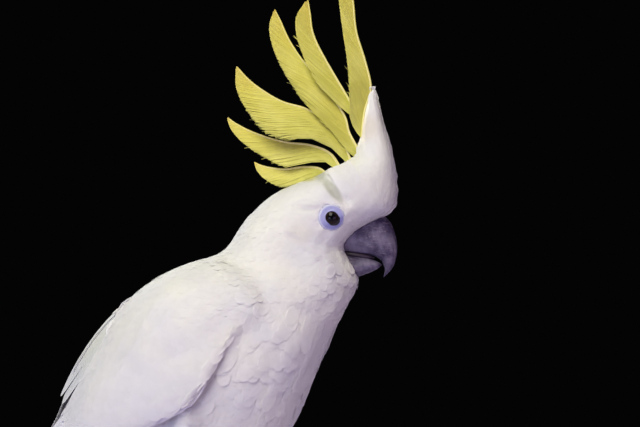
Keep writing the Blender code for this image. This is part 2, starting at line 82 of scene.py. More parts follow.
def teach(sign, operation):
    """Gives the class one of Python's operators, with the wire on its left or on its right."""
    setattr(Wire, f"__{sign}__", lambda wire, other: wire.math(operation, wire, other))
    setattr(Wire, f"__r{sign}__", lambda wire, other: wire.math(operation, other, wire))


OPERATORS = {"add": "ADD", "sub": "SUBTRACT", "mul": "MULTIPLY", "truediv": "DIVIDE",
             "pow": "POWER"}
for sign, operation in OPERATORS.items():
    teach(sign, operation)
print("operators of a wire:", ", ".join(OPERATORS))

# %% [markdown]
# ## A finish and its nodes
#
# Every finish here starts from the Principled shader.  One method adds any other node: it takes
# the node's type, its settings, which have to be in place before its sockets are touched, and
# the value or link of each socket.  Short helpers cover what nearly every finish needs: a
# smooth step from one value to another, a blend of two colours, noise, a soft oval mask drawn
# across the bird, a bump, and the maps and numbers that a mesh of feathers carries.

# %% The finish class
class Finish:
    """A material and its node tree."""

    def __init__(self, name, **constants):
        self.material = bpy.data.materials.new(name)
        self.material.use_nodes = True
        self.tree = self.material.node_tree
        self.shader = self.tree.nodes["Principled BSDF"]
        for socket, value in constants.items():
            self.shader.inputs[socket.replace("_", " ")].default_value = value

    def node(self, kind, settings=None, inputs=None):
        new = self.tree.nodes.new(kind)
        for name, value in (settings or {}).items():
            if name == "stops":
                stops = new.color_ramp.elements
                while len(stops) < len(value):
                    stops.new(0.5)
                for stop, (place, colour) in zip(stops, value):
                    stop.position = place
                    stop.color = (*colour, 1.0)
            else:
                setattr(new, name, value)
        for name, value in (inputs or {}).items():
            if isinstance(value, Wire):
                self.tree.links.new(value.socket, new.inputs[name])
            else:
                new.inputs[name].default_value = value
        return Wire(self, next(socket for socket in new.outputs if socket.enabled))

    def place(self):
        return self.node("ShaderNodeTexCoord").out("Object")

    def step(self, value, low, high, start=0.0, end=1.0):
        return self.node("ShaderNodeMapRange", {"interpolation_type": "SMOOTHSTEP"},
                         {0: value, 1: low, 2: high, 3: start, 4: end})

    def blend(self, factor, first, second, how="MIX"):
        first = first if isinstance(first, Wire) else (*first, 1.0)
        second = second if isinstance(second, Wire) else (*second, 1.0)
        return self.node("ShaderNodeMix", {"data_type": "RGBA", "blend_type": how},
                         {0: factor, 6: first, 7: second})

    def noise(self, scale, detail=3.0, where=None, **more):
        inputs = {"Vector": where or self.place(), "Scale": scale, "Detail": detail}
        return self.node("ShaderNodeTexNoise", None, {**inputs, **more})

    def oval(self, x, z, long, short, turn=0.0, soft=0.7):
        """1 in the middle of an oval drawn across the bird, falling to 0 at its rim."""
        inside = self.node("ShaderNodeMapping", {"vector_type": "TEXTURE"},
                           {"Vector": self.place(), "Location": (x * MM, 0.0, z * MM),
                            "Rotation": (0.0, math.radians(-turn), 0.0),
                            "Scale": (long * MM, 1000.0, short * MM)})
        away = self.node("ShaderNodeVectorMath", {"operation": "LENGTH"}, {0: inside}).out("Value")
        return self.step(away, 1.0 - soft, 1.0, 1.0, 0.0)

    def bump(self, height, strength, distance):
        inputs = {"Height": height, "Strength": strength, "Distance": distance * MM}
        return self.node("ShaderNodeBump", None, inputs)

    def split(self, vector):
        parts = self.node("ShaderNodeSeparateXYZ", None, {0: vector})
        return [parts.out(name) for name in "XYZ"]

    def vane(self):
        """How far across a feather a point is, and how far along it."""
        return self.split(self.node("ShaderNodeUVMap", {"uv_map": "vane"}))[:2]

    def mark(self, name):
        """A number that the mesh carries, such as the random tone of each feather."""
        return self.node("ShaderNodeAttribute", {"attribute_name": name}).out("Fac")

    def shaded(self, colour, shade, blue=1.0):
        """A colour made darker or lighter, with its blue changed a little more or less."""
        inputs = {0: shade, 1: shade, 2: shade if blue == 1.0 else shade * blue}
        grey = self.node("ShaderNodeCombineColor", None, inputs)
        return self.blend(1.0, colour, grey, "MULTIPLY")

    def show(self, **wires):
        for name, wire in wires.items():
            self.tree.links.new(wire.socket, self.shader.inputs[name.replace("_", " ")])
        return self.material


print("a finish has:", ", ".join(name for name in vars(Finish) if not name.startswith("_")))

# %% [markdown]
# ## Tools for shapes
#
# Four tools are used again and again.  The first turns a bmesh into a finished piece.  The
# second welds copies of some body forms together, each swollen a little, because a form is a
# loose set of triangles with a fine gap to its neighbour.  The third melts such a mesh into an
# even net of small squares with Blender's voxel remesh, which closes the gaps, so that several
# forms become one continuous surface.  The fourth smooths some points of a mesh.  Two lines of
# numpy come with them: one makes directions one unit long, and one turns rows into columns.

# %% Pieces, welded copies and an even net
def as_piece(name, shape, material=None):
    """A scene object made from a bmesh."""
    mesh = bpy.data.meshes.new(name)
    shape.to_mesh(mesh)
    shape.free()
    if material:
        mesh.materials.append(material)
    mesh.shade_smooth()
    piece = bpy.data.objects.new(name, mesh)
    bpy.context.scene.collection.objects.link(piece)
    return piece


def welded(swells, shape=None):
    """One bmesh of the named body forms, each moved outward by its swell in millimetres."""
    shape = shape or bmesh.new()
    for node, swell in swells.items():
        first = len(shape.verts)
        shape.from_mesh(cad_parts[node].data)
        shape.verts.ensure_lookup_table()
        bmesh.ops.remove_doubles(shape, verts=shape.verts[first:], dist=0.001 * MM)
        shape.normal_update()
        shape.verts.ensure_lookup_table()
        for vert in shape.verts[first:]:
            vert.co += vert.normal * swell * MM
    return shape


def netted(shape, size):
    """The outside of a bmesh as an even net with squares of the given size in millimetres."""
    lump = as_piece("lump", shape)
    melt = lump.modifiers.new("melt", "REMESH")
    melt.mode = "VOXEL"
    melt.voxel_size = size * MM
    melted = lump.evaluated_get(bpy.context.evaluated_depsgraph_get())
    net = bmesh.new()
    net.from_mesh(melted.to_mesh())
    melted.to_mesh_clear()
    bpy.data.objects.remove(lump)
    return net


def soften(shape, verts, rounds):
    """Moves each of some points half way to the middle of its neighbours, a few times."""
    for _ in range(rounds):
        bmesh.ops.smooth_vert(shape, verts=verts, factor=0.5, use_axis_x=True, use_axis_y=True,
                              use_axis_z=True)


def unit(rows):
    """Directions, each made one unit long."""
    return rows / np.linalg.norm(rows, axis=-1, keepdims=True)


def as_columns(rows):
    """A list of rows turned into one array for each column."""
    return [np.array(column) for column in zip(*rows)]


print("tools ready: as_piece, welded, netted, soften, unit, as_columns")

# %% [markdown]
# ## The skin
#
# Under the feathers of a real bird is one thin skin from the bill to the claws.  It could be
# drawn again from scratch, but the body forms already have the right shape, so we melt them
# into one net and then press that net inward by the depth of the coat: not at all on the feet,
# half a millimetre on the face, and nearly one on the breast.  The feathers then fill that
# depth back up to the outline of the body forms.  A folded wing is too thin to press from both
# sides, so it is moved towards the middle of the body before the melt.  The thin ends of the
# wings and the tail are nothing but quills on a real bird, so the skin stops short of them.  A
# second net keeps the wings whole: it is never shown, but the last small feathers of the wing
# need something to lie on where they run out over the quills.

# %% Melt the body forms into one net
NET = 1.4
SWELLS = {"wing_right": 0.3, "wing_left": 0.3, "head": 0.4, "neck": 0.4, "trunk": 0.4,
          "thigh_right": 0.4, "thigh_left": 0.4, "foot_right": 0.15, "foot_left": 0.15}
WING_SINK = 1.6
BODY_AXIS = ((-100.0, 34.0), (-40.0, 72.0), (20.0, 122.0), (62.0, 166.0), (92.0, 204.0))
QUILLS_FROM = Vector((0.0, 0.0, 152.0)) * MM
QUILLS_WAY = Vector((-0.72, 0.0, -0.69))


def toward_axis(place):
    """The direction from a place straight in to the middle line of the body."""
    line = [Vector((x, 0.0, z)) * MM for x, z in BODY_AXIS]
    spots = []
    for start, end in zip(line, line[1:]):
        run = end - start
        share = min(max((place - start).dot(run) / run.length_squared, 0.0), 1.0)
        spots.append(start + run * share)
    return (min(spots, key=lambda spot: (spot - place).length) - place).normalized()


def melted(cut_wings):
    """The body forms as one even net, with or without the thin ends of the wings."""
    flesh = welded({node: SWELLS[node] for node in ("wing_right", "wing_left")})
    for vert in flesh.verts:
        vert.co += toward_axis(vert.co) * WING_SINK * MM
    if cut_wings:
        cut = bmesh.ops.bisect_plane(flesh, geom=flesh.verts[:] + flesh.edges[:] + flesh.faces[:],
                                     plane_co=QUILLS_FROM, plane_no=QUILLS_WAY, clear_outer=True)
        rims = [item for item in cut["geom_cut"] if isinstance(item, bmesh.types.BMEdge)]
        bmesh.ops.holes_fill(flesh, edges=rims)
    flesh = welded({node: swell for node, swell in SWELLS.items() if "wing" not in node}, flesh)
    net = netted(flesh, NET)
    soften(net, net.verts, 1)
    return net


whole_net = melted(False)
cut_net = melted(True)
print("nets:", len(whole_net.faces), "and", len(cut_net.faces), "squares")

# %% [markdown]
# Each square of the net belongs to the form that it lies nearest to, which tells how deep the
# coat is there.  A search tree over all the triangles of the forms finds the nearest one fast,
# and a list beside it remembers which form each triangle is from.

# %% The depth of the coat on each form
COAT_DEPTH = {"head": 0.7, "neck": 0.8, "trunk": 0.9, "wing_right": 0.0, "wing_left": 0.0,
              "thigh_right": 0.9, "thigh_left": 0.9, "foot_right": 0.0, "foot_left": 0.0}
PARTS = list(COAT_DEPTH)


def tree_of(nodes):
    """A search tree over some body forms, and the form that each of its triangles is from."""
    corners, faces, owners = [], [], []
    for number, node in enumerate(nodes):
        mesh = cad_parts[node].data
        first = len(corners)
        corners += [vert.co for vert in mesh.vertices]
        faces += [[first + corner for corner in face.vertices] for face in mesh.polygons]
        owners += [number] * len(mesh.polygons)
    return BVHTree.FromPolygons(corners, faces), np.array(owners)


forms, form_owner = tree_of(PARTS)


def nearest_part(place):
    return PARTS[form_owner[forms.find_nearest(place)[2]]]


print("triangles of the forms:", len(form_owner))

# %% [markdown]
# Pressed in by those depths alone, the skin would have a step wherever two forms meet.  So the
# depths are first averaged over neighbouring points, a number of times, and the skin sinks from
# one depth to the next without a step.

# %% Numbers evened out over a mesh
DEPTH_ROUNDS = 14


def evened(shape, values, rounds):
    """Values at the points of a mesh, each averaged with its neighbours a number of times."""
    ends = np.array([[vert.index for vert in edge.verts] for edge in shape.edges])
    count = np.bincount(ends.ravel(), minlength=len(values)) + 1.0
    for _ in range(rounds):
        total = values.copy()
        np.add.at(total, ends[:, 0], values[ends[:, 1]])
        np.add.at(total, ends[:, 1], values[ends[:, 0]])
        values = total / count
    return values


print("rounds of averaging:", DEPTH_ROUNDS)

# %% [markdown]
# Three creases of the plumage are pressed in as well: the groove in front of the crown, the
# hollow behind the eye, and the fold where the plumage of the neck hangs over the breast.  They
# could be carved by hand, but a line with a width and a depth is easier to change.  Across its
# line each crease is a soft trough, and it fades out towards the middle of the bird.

# %% The creases
# points (x, z) along each crease, half its width and its depth, all in millimetres
CREASES = [
    ([(123, 268), (125, 261), (129.5, 255.7), (134.2, 250.5), (137, 246.5), (142, 243)], 4.6, 1.9),
    ([(127, 238), (120, 239.5), (111, 240)], 4.0, 0.8),
    ([(64, 206.6), (75, 203), (83.8, 198.5), (87.5, 190), (88.5, 181), (94, 174.5), (104, 171),
      (118, 172), (133, 178)], 4.5, 1.9),
]
# a crease fades out towards the middle of the bird over these distances from it
CREASE_LIMIT = 8.0
CREASE_FADE = 4.0


def creased(place):
    """How deep the creases of the plumage are at a place."""
    x, y, z = place / MM
    depth = 0.0
    if abs(y) < CREASE_LIMIT:
        return depth
    for line, half, deep in CREASES:
        across, upward = zip(*line)
        if not (min(across) - half < x < max(across) + half
                and min(upward) - half < z < max(upward) + half):
            continue
        away = half
        for (x1, z1), (x2, z2) in zip(line, line[1:]):
            run = (x2 - x1) ** 2 + (z2 - z1) ** 2
            share = min(max(((x - x1) * (x2 - x1) + (z - z1) * (z2 - z1)) / run, 0.0), 1.0)
            away = min(away, math.hypot(x - x1 - share * (x2 - x1), z - z1 - share * (z2 - z1)))
        depth = max(depth, deep * (1.0 - (away / half) ** 2) ** 2)
    return depth * min((abs(y) - CREASE_LIMIT) / CREASE_FADE, 1.0)


print("creases:", len(CREASES))

# %% [markdown]
# Now both nets are pressed in along their normals and smoothed.  The skin that is shown lies a
# little below the one that the feathers are laid on, so that it never comes through between
# them.

# %% Press the skin in by the depth of the coat
FACE = Vector((152.0, 0.0, 232.0)) * MM
FACE_DEPTH = 0.5
FACE_EDGES = (22.0, 60.0)
# forms whose skin is smoothed, and how often; the last is for all of them
SMOOTHED = [(("trunk", "neck"), 30), (("thigh_right", "thigh_left"), 8), ((), 3)]


def pressed(net, below=0.0):
    """Sinks a net by the depth of the coat, and a little further where it isn't bare."""
    net.verts.ensure_lookup_table()
    net.verts.index_update()
    depths = np.array([COAT_DEPTH[part] + SWELLS[part] + below * ("foot" not in part)
                       for part in (nearest_part(vert.co) for vert in net.verts)])
    for vert in net.verts:
        away = (vert.co - FACE).length / MM
        if away < FACE_EDGES[1]:
            share = max((away - FACE_EDGES[0]) / (FACE_EDGES[1] - FACE_EDGES[0]), 0.0)
            shallow = FACE_DEPTH + SWELLS["head"] + below
            depths[vert.index] = min(depths[vert.index],
                                     shallow + (depths[vert.index] - shallow) * share)
    depths = evened(net, depths, DEPTH_ROUNDS) + np.array([creased(vert.co) for vert in net.verts])
    net.normal_update()
    for vert, depth in zip(net.verts, depths):
        vert.co -= vert.normal * depth * MM
    parts = [nearest_part(vert.co) for vert in net.verts]
    for smoothed, rounds in SMOOTHED:
        soften(net, [vert for vert, part in zip(net.verts, parts)
                     if not smoothed or part in smoothed], rounds)
    for vert in net.verts:
        vert.co.z = max(vert.co.z, 0.0)
    net.normal_update()
    net.faces.ensure_lookup_table()
    print("net pressed in by", round(float(depths.min()), 2), "to", round(float(depths.max()), 2))
    return net


SHOWN_BELOW = 0.35
bare_skin = pressed(cut_net, SHOWN_BELOW)
skin = pressed(whole_net)
skin_tree = BVHTree.FromBMesh(skin)
skin_part = [nearest_part(face.calc_center_median()) for face in skin.faces]

# %% [markdown]
# ## Which way the feathers lie
#
# Every feather on a bird points away from the bill and towards the tail, but not in straight
# lines: over the forehead they run up into the crest, round the eye they part, on the cheek
# they turn down, and on the belly they meet under the tail.  Combing each one by hand would
# take for ever.  Instead a few dozen guides are set on one side of the bird, each a place and a
# direction, and a feather anywhere takes the average of the guides near it, pressed flat
# against the skin.

# %% The guides of the lie: place in millimetres, then direction
COMB = [
    ((168, 0, 246), (0.10, 0.0, 1.0)),
    ((174, 0, 262), (-0.02, 0.0, 1.0)),
    ((168, 0, 285), (-0.18, 0.0, 1.0)),
    ((160, 5, 262), (-0.10, 0.0, 1.0)),
    ((157, 0, 300), (-0.05, 0.0, 1.0)),
    ((150, 18, 236), (-0.55, 0.2, 0.80)),
    ((140, 20, 252), (-0.65, 0.0, 0.75)),
    ((136, 10, 266), (-0.80, 0.0, 0.60)),
    ((122, 16, 262), (-0.98, 0.0, 0.15)),
    ((104, 8, 256), (-0.95, 0.0, -0.30)),
    ((119, 26, 236), (-1.0, 0.1, -0.15)),
    ((133, 26, 246), (-0.90, 0.1, 0.45)),
    ((131, 26, 221), (-0.90, 0.1, -0.45)),
    ((98, 22, 240), (-0.85, 0.0, -0.52)),
    ((80, 8, 236), (-0.68, 0.0, -0.73)),
    ((64, 0, 218), (-0.70, 0.0, -0.71)),
    ((145, 22, 214), (-0.55, 0.2, -0.80)),
    ((146, 14, 200), (-0.35, 0.1, -0.93)),
    ((126, 28, 206), (-0.62, 0.1, -0.78)),
    ((104, 30, 214), (-0.68, 0.0, -0.73)),
    ((150, 0, 192), (-0.25, 0.0, -0.97)),
    ((136, 10, 178), (-0.30, 0.0, -0.95)),
    ((112, 28, 190), (-0.45, 0.0, -0.89)),
    ((84, 34, 200), (-0.60, 0.0, -0.80)),
    ((44, 14, 206), (-0.86, 0.0, -0.50)),
    ((20, 20, 192), (-0.86, 0.0, -0.52)),
    ((0, 20, 168), (-0.62, 0.0, -0.78)),
    ((-12, 0, 148), (-0.50, 0.0, -0.86)),
    ((-40, 0, 92), (-0.62, 0.0, -0.78)),
    ((-80, 0, 55), (-0.88, 0.0, -0.48)),
    ((128, 14, 146), (-0.20, 0.0, -0.98)),
    ((108, 40, 160), (-0.34, 0.0, -0.94)),
    ((112, 22, 112), (-0.42, 0.0, -0.90)),
    ((84, 42, 120), (-0.42, 0.0, -0.90)),
    ((92, 0, 84), (-0.74, 0.0, -0.67)),
    ((60, 20, 66), (-0.93, 0.0, -0.36)),
    ((10, 22, 48), (-0.93, 0.0, -0.36)),
    ((-60, 12, 26), (-0.96, 0.0, -0.28)),
    ((0, 46, 100), (-0.70, 0.0, -0.70)),
    ((40, 46, 118), (-0.22, 0.1, -0.97)),
    ((40, 36, 80), (-0.02, 0.0, -1.0)),
]
WING_COMB = [
    ((70, 40, 195), (-0.80, 0.1, -0.60)),
    ((45, 52, 188), (-0.88, 0.0, -0.48)),
    ((80, 46, 180), (-0.70, 0.0, -0.72)),
    ((20, 54, 178), (-0.72, 0.0, -0.69)),
    ((60, 58, 155), (-0.66, 0.0, -0.75)),
    ((0, 40, 172), (-0.66, 0.0, -0.75)),
    ((0, 59, 135), (-0.64, 0.0, -0.77)),
    ((40, 60, 125), (-0.66, 0.0, -0.75)),
    ((-30, 50, 112), (-0.66, 0.0, -0.75)),
    ((-45, 40, 85), (-0.74, 0.0, -0.67)),
]
print("guides:", len(COMB) + len(WING_COMB))

# %% [markdown]
# A guide's pull fades with the fourth power of its distance, so the nearest ones decide.  Right
# beside a guide the pull would grow without end, so a few millimetres are added to every
# distance.  The guides are on the left side only, and a place on the right is folded over.

# %% The average of the guides near a place
GUIDE_CORE = 3.0


def combed(comb, places):
    """The direction of lie at each place, before it is pressed onto the skin."""
    guides = np.array([place for place, _ in comb], float) * MM
    ways = np.array([way for _, way in comb], float)
    side = np.where(places[:, 1] < 0.0, -1.0, 1.0)
    folded = places * np.stack([np.ones(len(places)), side, np.ones(len(places))], axis=1)
    away = ((folded[:, None, :] - guides[None]) ** 2).sum(axis=2) + (GUIDE_CORE * MM) ** 2
    share = away ** -2.0
    lie = (share[:, :, None] * ways[None]).sum(axis=1)
    lie[:, 1] *= side
    return unit(lie)


print("lie on the cheek:", combed(COMB, np.array([[120.0, 26.0, 220.0]]) * MM)[0].round(2))

# %% [markdown]
# ## Where the feathers grow
#
# Feathers are spread evenly, close together on the face and further apart on the back.  Points
# thrown at random clump, and a square grid shows as rows.  So points are thrown one after the
# other, and one that falls too near to an earlier one is dropped.  A net of cells, as wide as
# the widest spacing, keeps the search for neighbours short.

# %% Throw the roots
TRIES = 7.0


def thrown(faces, spacing, seed):
    """Roots on some faces of the skin, each at least spacing(place) millimetres from the next."""
    dice = np.random.default_rng(seed)
    areas = np.array([skin.faces[face].calc_area() for face in faces])
    middles = [skin.faces[face].calc_center_median() for face in faces]
    gaps = np.array([spacing(middle) for middle in middles]) * MM
    chances = areas / gaps ** 2
    tries = int(TRIES * chances.sum())
    chosen = dice.choice(len(faces), size=tries, p=chances / chances.sum())
    shifts = dice.random((tries, 2))
    cell = float(gaps.max())
    taken = {}
    roots = []
    for pick, (across, along) in zip(chosen, shifts):
        corners = [vert.co for vert in skin.faces[faces[pick]].verts]
        place = (corners[0].lerp(corners[1], across)).lerp(corners[-1].lerp(corners[-2], across),
                                                           along)
        gap = float(gaps[pick])
        home = tuple(int(value // cell) for value in place)
        near = (taken.get((home[0] + i, home[1] + j, home[2] + k), ())
                for i in (-1, 0, 1) for j in (-1, 0, 1) for k in (-1, 0, 1))
        if all((other - place).length_squared > gap * gap for group in near for other in group):
            taken.setdefault(home, []).append(place)
            roots.append(place)
    return np.array(roots)


# %% [markdown]
# Under a wing and between the thighs, two stretches of skin lie face to face.  Feathers there
# could only cut through each other, so none grow where a ray straight out from the skin soon
# meets the skin again.

# %% The open skin
FOLD = 6.0


def in_fold(face):
    """Whether a face looks across a narrow gap at another part of the skin."""
    start = face.calc_center_median() + face.normal * 0.5 * MM
    return skin_tree.ray_cast(start, face.normal, FOLD * MM)[0] is not None


open_faces = [face.index for face in skin.faces if not in_fold(face)]


def faces_of(test):
    """The open faces of the skin that pass a test of form, middle in millimetres and normal."""
    chosen = []
    for index in open_faces:
        face = skin.faces[index]
        if test(skin_part[index], face.calc_center_median() / MM, face.normal):
            chosen.append(index)
    return chosen


print("skin faces in the open:", len(open_faces), "of", len(skin.faces))

# %% [markdown]
# ## One feather
#
# A body feather is a thin vane, rounded at its end, that curves a little across so that its
# edges hug the feathers beside it.  Modelling each barb would take millions of faces, so the
# vane is one thin solid with the barbs left to its finish.  A small grid is drawn into the
# outline, the line of the quill is raised, and Solidify gives it thickness.  A shape that is
# used ten thousand times has to be spare: this one has 48 faces.

# %% The vane's pattern
def smooth_curve(rows, shares):
    """Points on a smooth curve through rows of numbers, at shares from 0 to 1 of its length."""
    rows = np.asarray(rows, float)
    spans = len(rows) - 1
    spot = np.clip(np.asarray(shares, float), 0.0, 1.0) * spans
    first = np.minimum(spot.astype(int), spans - 1)
    t = (spot - first)[:, None]
    padded = np.vstack([2 * rows[0] - rows[1], rows, 2 * rows[-1] - rows[-2]])
    a, b, c, d = (padded[first + i] for i in range(4))
    return 0.5 * (2 * b + (c - a) * t + (2 * a - 5 * b + 4 * c - d) * t ** 2
                  + (3 * b - a - 3 * c + d) * t ** 3)


def vane_pattern(outline, rows, columns, thick, quill, tip, taper=0.5, crowd=1.35):
    """A vane one unit long and about one wide: its outline gives its width from root to tip."""
    shape = bmesh.new()
    bmesh.ops.create_grid(shape, x_segments=columns, y_segments=rows, size=0.5)
    for vert in shape.verts:
        across = 2.0 * vert.co.x
        along = vert.co.y + 0.5
        eased = 1.0 - (1.0 - along) ** crowd
        width = float(smooth_curve([(value,) for value in outline], [eased])[0, 0])
        vert.co.x = 0.5 * across * width
        vert.co.y = eased - tip * across * across * along ** 3
        vert.co.z = quill * MM * (1.0 - abs(across)) * (1.0 - along)
    shape.normal_update()
    bmesh.ops.solidify(shape, geom=shape.faces[:], thickness=thick * MM)
    bmesh.ops.recalc_face_normals(shape, faces=shape.faces[:])
    for vert in shape.verts:
        vert.co.z *= 1.0 - taper * (vert.co.y + 0.05)
    points = np.array([vert.co for vert in shape.verts])
    faces = np.array([[vert.index for vert in face.verts] for face in shape.faces])
    shape.free()
    return points, faces


BODY_VANE = vane_pattern((0.45, 0.85, 1.0, 1.0, 0.93, 0.64), rows=4, columns=4, thick=0.12,
                         quill=0.05, tip=0.07, taper=0.75, crowd=1.9)
print("faces in one feather:", len(BODY_VANE[1]))

# %% [markdown]
# ## Feathers walked over the skin
#
# A real feather grows from its root and lies over the ones behind it.  Each quill here is
# walked: it starts at its root, takes a few steps over the skin along the lie, and rises
# steadily, and its tip is tucked down again onto the feathers that it covers.  All feathers of
# a tract rise at the same slope, as roof tiles do, so they overlap without cutting through each
# other, and the tucked tips keep the plumage as smooth as a live bird's.

# %% Walk the quills
TUCK = 0.11
WALK_STEPS = 3
LEAST_FALL = -0.10
MOST_FALL = 0.32


def touch(place):
    """The nearest place on the skin, and the skin's direction outward there."""
    spot, _, face, _ = skin_tree.find_nearest(place)
    normal = Vector()
    for vert in skin.faces[face].verts:
        normal += vert.normal
    return spot, normal.normalized()


def walked(roots, lies, lengths, widths, sink, rise, hug):
    """Quill points, outward directions, side directions and fall of the edges, root to tip."""
    steps = WALK_STEPS
    shape = (len(roots), steps + 1, 3)
    points, outs, sides = np.zeros(shape), np.zeros(shape), np.zeros(shape)
    falls = np.zeros(shape[:2])
    for i, (root, lie, length, width) in enumerate(zip(roots, lies, lengths, widths)):
        spot, out = touch(Vector(root))
        run = Vector(lie)
        run = (run - out * run.dot(out)).normalized()
        for step in range(steps + 1):
            side = run.cross(out).normalized()
            share = step / steps
            height = sink[i] + (rise[i] - sink[i]) * (share - TUCK * share ** 4)
            points[i, step] = spot + out * height * MM
            outs[i, step] = out
            sides[i, step] = side
            if step == 1 or step == steps - 1:
                fall = 0.0
                for way in (-0.5, 0.5):
                    edge = spot + side * way * width * MM
                    fall += (edge - touch(edge)[0]).dot(out) / MM * 0.5
                falls[i, step] = min(max(fall, LEAST_FALL * width), MOST_FALL * width)
            if step < steps:
                ahead = spot + run * length * MM / steps
                landed, outward = touch(ahead)
                spot = ahead.lerp(landed, hug)
                out = out.lerp(outward, hug).normalized()
                run = (run - out * run.dot(out)).normalized()
        falls[i, 0] = falls[i, 1]
        falls[i, steps] = falls[i, steps - 1]
    return points, outs, sides, falls


# %% [markdown]
# ## Many feathers as one piece
#
# A few thousand separate objects would be slow, so the feathers of a tract are joined into one
# mesh.  The pattern's points are laid along every quill at once, with numpy.  Each feather also
# carries a small patch of a map, at the place of its root on an unwrap of the bird's own body,
# round and along it, and a second map that measures its vane in centimetres, for the barbs.
# A random tone keeps two neighbours from matching exactly.

# %% An unwrap of the body: round it and along it
AXIS = smooth_curve([(-176, 6), (-100, 34), (-40, 70), (20, 118), (60, 162), (92, 200),
                     (124, 236), (150, 262), (158, 320)], np.linspace(0.0, 1.0, 160)) * MM
AXIS_RUN = np.concatenate([[0.0], np.cumsum(np.linalg.norm(np.diff(AXIS, axis=0), axis=1))])
print("the body's axis:", round(AXIS_RUN[-1] / MM), "mm long")


def body_map(places):
    """How far round the body and how far along it each place is."""
    flat = places[:, [0, 2]]
    nearest = ((flat[:, None, :] - AXIS[None]) ** 2).sum(axis=2).argmin(axis=1)
    ahead = unit(AXIS[np.minimum(nearest + 1, len(AXIS) - 1)] - AXIS[np.maximum(nearest - 1, 0)])
    off = flat - AXIS[nearest]
    upward = off[:, 1] * ahead[:, 0] - off[:, 0] * ahead[:, 1]
    return np.stack([np.arctan2(places[:, 1], -upward), AXIS_RUN[nearest]], axis=1)


PATCH = 0.003


def laid_patches(rooted, across, along):
    """Map places: every feather's own patch, with the whole piece spread over the map."""
    low = rooted.min(axis=0)
    span = np.maximum(rooted.max(axis=0) - low, 1e-9)
    home = 0.01 + (rooted - low) / span * (0.98 - PATCH)
    corner = np.stack([across, along], axis=1)
    corner = (corner - corner.min(axis=0)) / np.ptp(corner, axis=0)
    return home[:, None, :] + corner[None] * PATCH


# %% Join the feathers of a tract into one mesh
def feathered(name, pattern, quills, widths, lengths, finish, seed,
              marks=None):
    """A piece of plumage: the pattern laid along every quill."""
    flat, faces = pattern
    points, outs, sides, falls = quills
    count = len(points)
    steps = points.shape[1] - 1
    along = flat[:, 1]
    weights = smooth_curve(np.eye(steps + 1), along)
    centre = np.einsum("vk,nkc->nvc", weights, points)
    out = unit(np.einsum("vk,nkc->nvc", weights, outs))
    side = unit(np.einsum("vk,nkc->nvc", weights, sides))
    fall = np.einsum("vk,nk->nv", weights, falls) * MM
    width = np.asarray(widths)[:, None] * MM
    across = flat[None, :, 0]
    lift = flat[None, :, 2] - fall * (2.0 * across) ** 2
    verts = centre + side * (across * width)[:, :, None] + out * lift[:, :, None]
    mesh = bpy.data.meshes.new(name)
    mesh.vertices.add(count * len(flat))
    mesh.vertices.foreach_set("co", verts.astype(np.float32).ravel())
    corners = (faces[None] + (np.arange(count) * len(flat))[:, None, None]).reshape(-1, 4)
    mesh.loops.add(corners.size)
    mesh.loops.foreach_set("vertex_index", corners.astype(np.int32).ravel())
    mesh.polygons.add(len(corners))
    mesh.polygons.foreach_set("loop_start", np.arange(0, corners.size, 4, dtype=np.int32))
    mesh.update(calc_edges=True)
    patches = laid_patches(body_map(points[:, 0]), flat[:, 0], along).reshape(-1, 2)
    measure = np.stack([across * width * 100.0,
                        along[None] * np.asarray(lengths)[:, None] * MM * 100.0], axis=2)
    for label, places in (("OFBake", patches), ("vane", measure.reshape(-1, 2))):
        layer = mesh.uv_layers.new(name=label)
        layer.uv.foreach_set("vector", places[corners.ravel()].astype(np.float32).ravel())
    tones = np.random.default_rng(seed).random(count)
    for label, values in {"tone": tones, **(marks or {})}.items():
        mark = mesh.attributes.new(label, "FLOAT", "POINT")
        mark.data.foreach_set("value", np.repeat(values, len(flat)).astype(np.float32))
    mesh.shade_smooth()
    mesh.set_sharp_from_angle(angle=math.radians(50.0))
    mesh.materials.append(finish)
    piece = bpy.data.objects.new(name, mesh)
    bpy.context.scene.collection.objects.link(piece)
    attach(piece, "root")
    print(name, count, "feathers,", 2 * len(corners), "triangles")
    return piece

# %% [markdown]
# ## The white of the plumage
#
# White feathers are never one flat white.  The barbs scatter light, so the vane is soft and
# has no gloss, a little light passes through it, its root is greyer with down and with painted
# shade from the feathers over it, and the powder that a cockatoo's plumage carries leaves faint
# warm and cool patches.  A little yellow shows on the cheek over the ear, and the foot of the
# crest is greenish yellow.  Painted shade darkens the groove in front of the crown, tinted green
# there by the yellow feet of the crest, and small hollows behind and below the eye, and a
# painted cool lavender shade lies over the lower body, the wings and the tail.  The barbs run
# slanting from the quill, and a fine wave along that slant, in the vane's own map, is both a
# trace of tone and a shallow bump.

# %% The plumage finish
IVORY = (0.865, 0.862, 0.775)
COOL_WHITE = (0.80, 0.80, 0.775)
DOWN_GREY_AND_SHADE = (0.68, 0.66, 0.68)
PALE_YELLOW = (0.84, 0.80, 0.56)
GROOVE_SHADE_AND_GREEN = (0.50, 0.51, 0.41)
CREST_FOOT = (0.64, 0.61, 0.14)
PAINTED_FOLD_SHADE = (0.55, 0.52, 0.58)
WARM_SHADE = (0.70, 0.60, 0.46)
LOW_PAINTED_SHADE = (0.60, 0.60, 0.72)
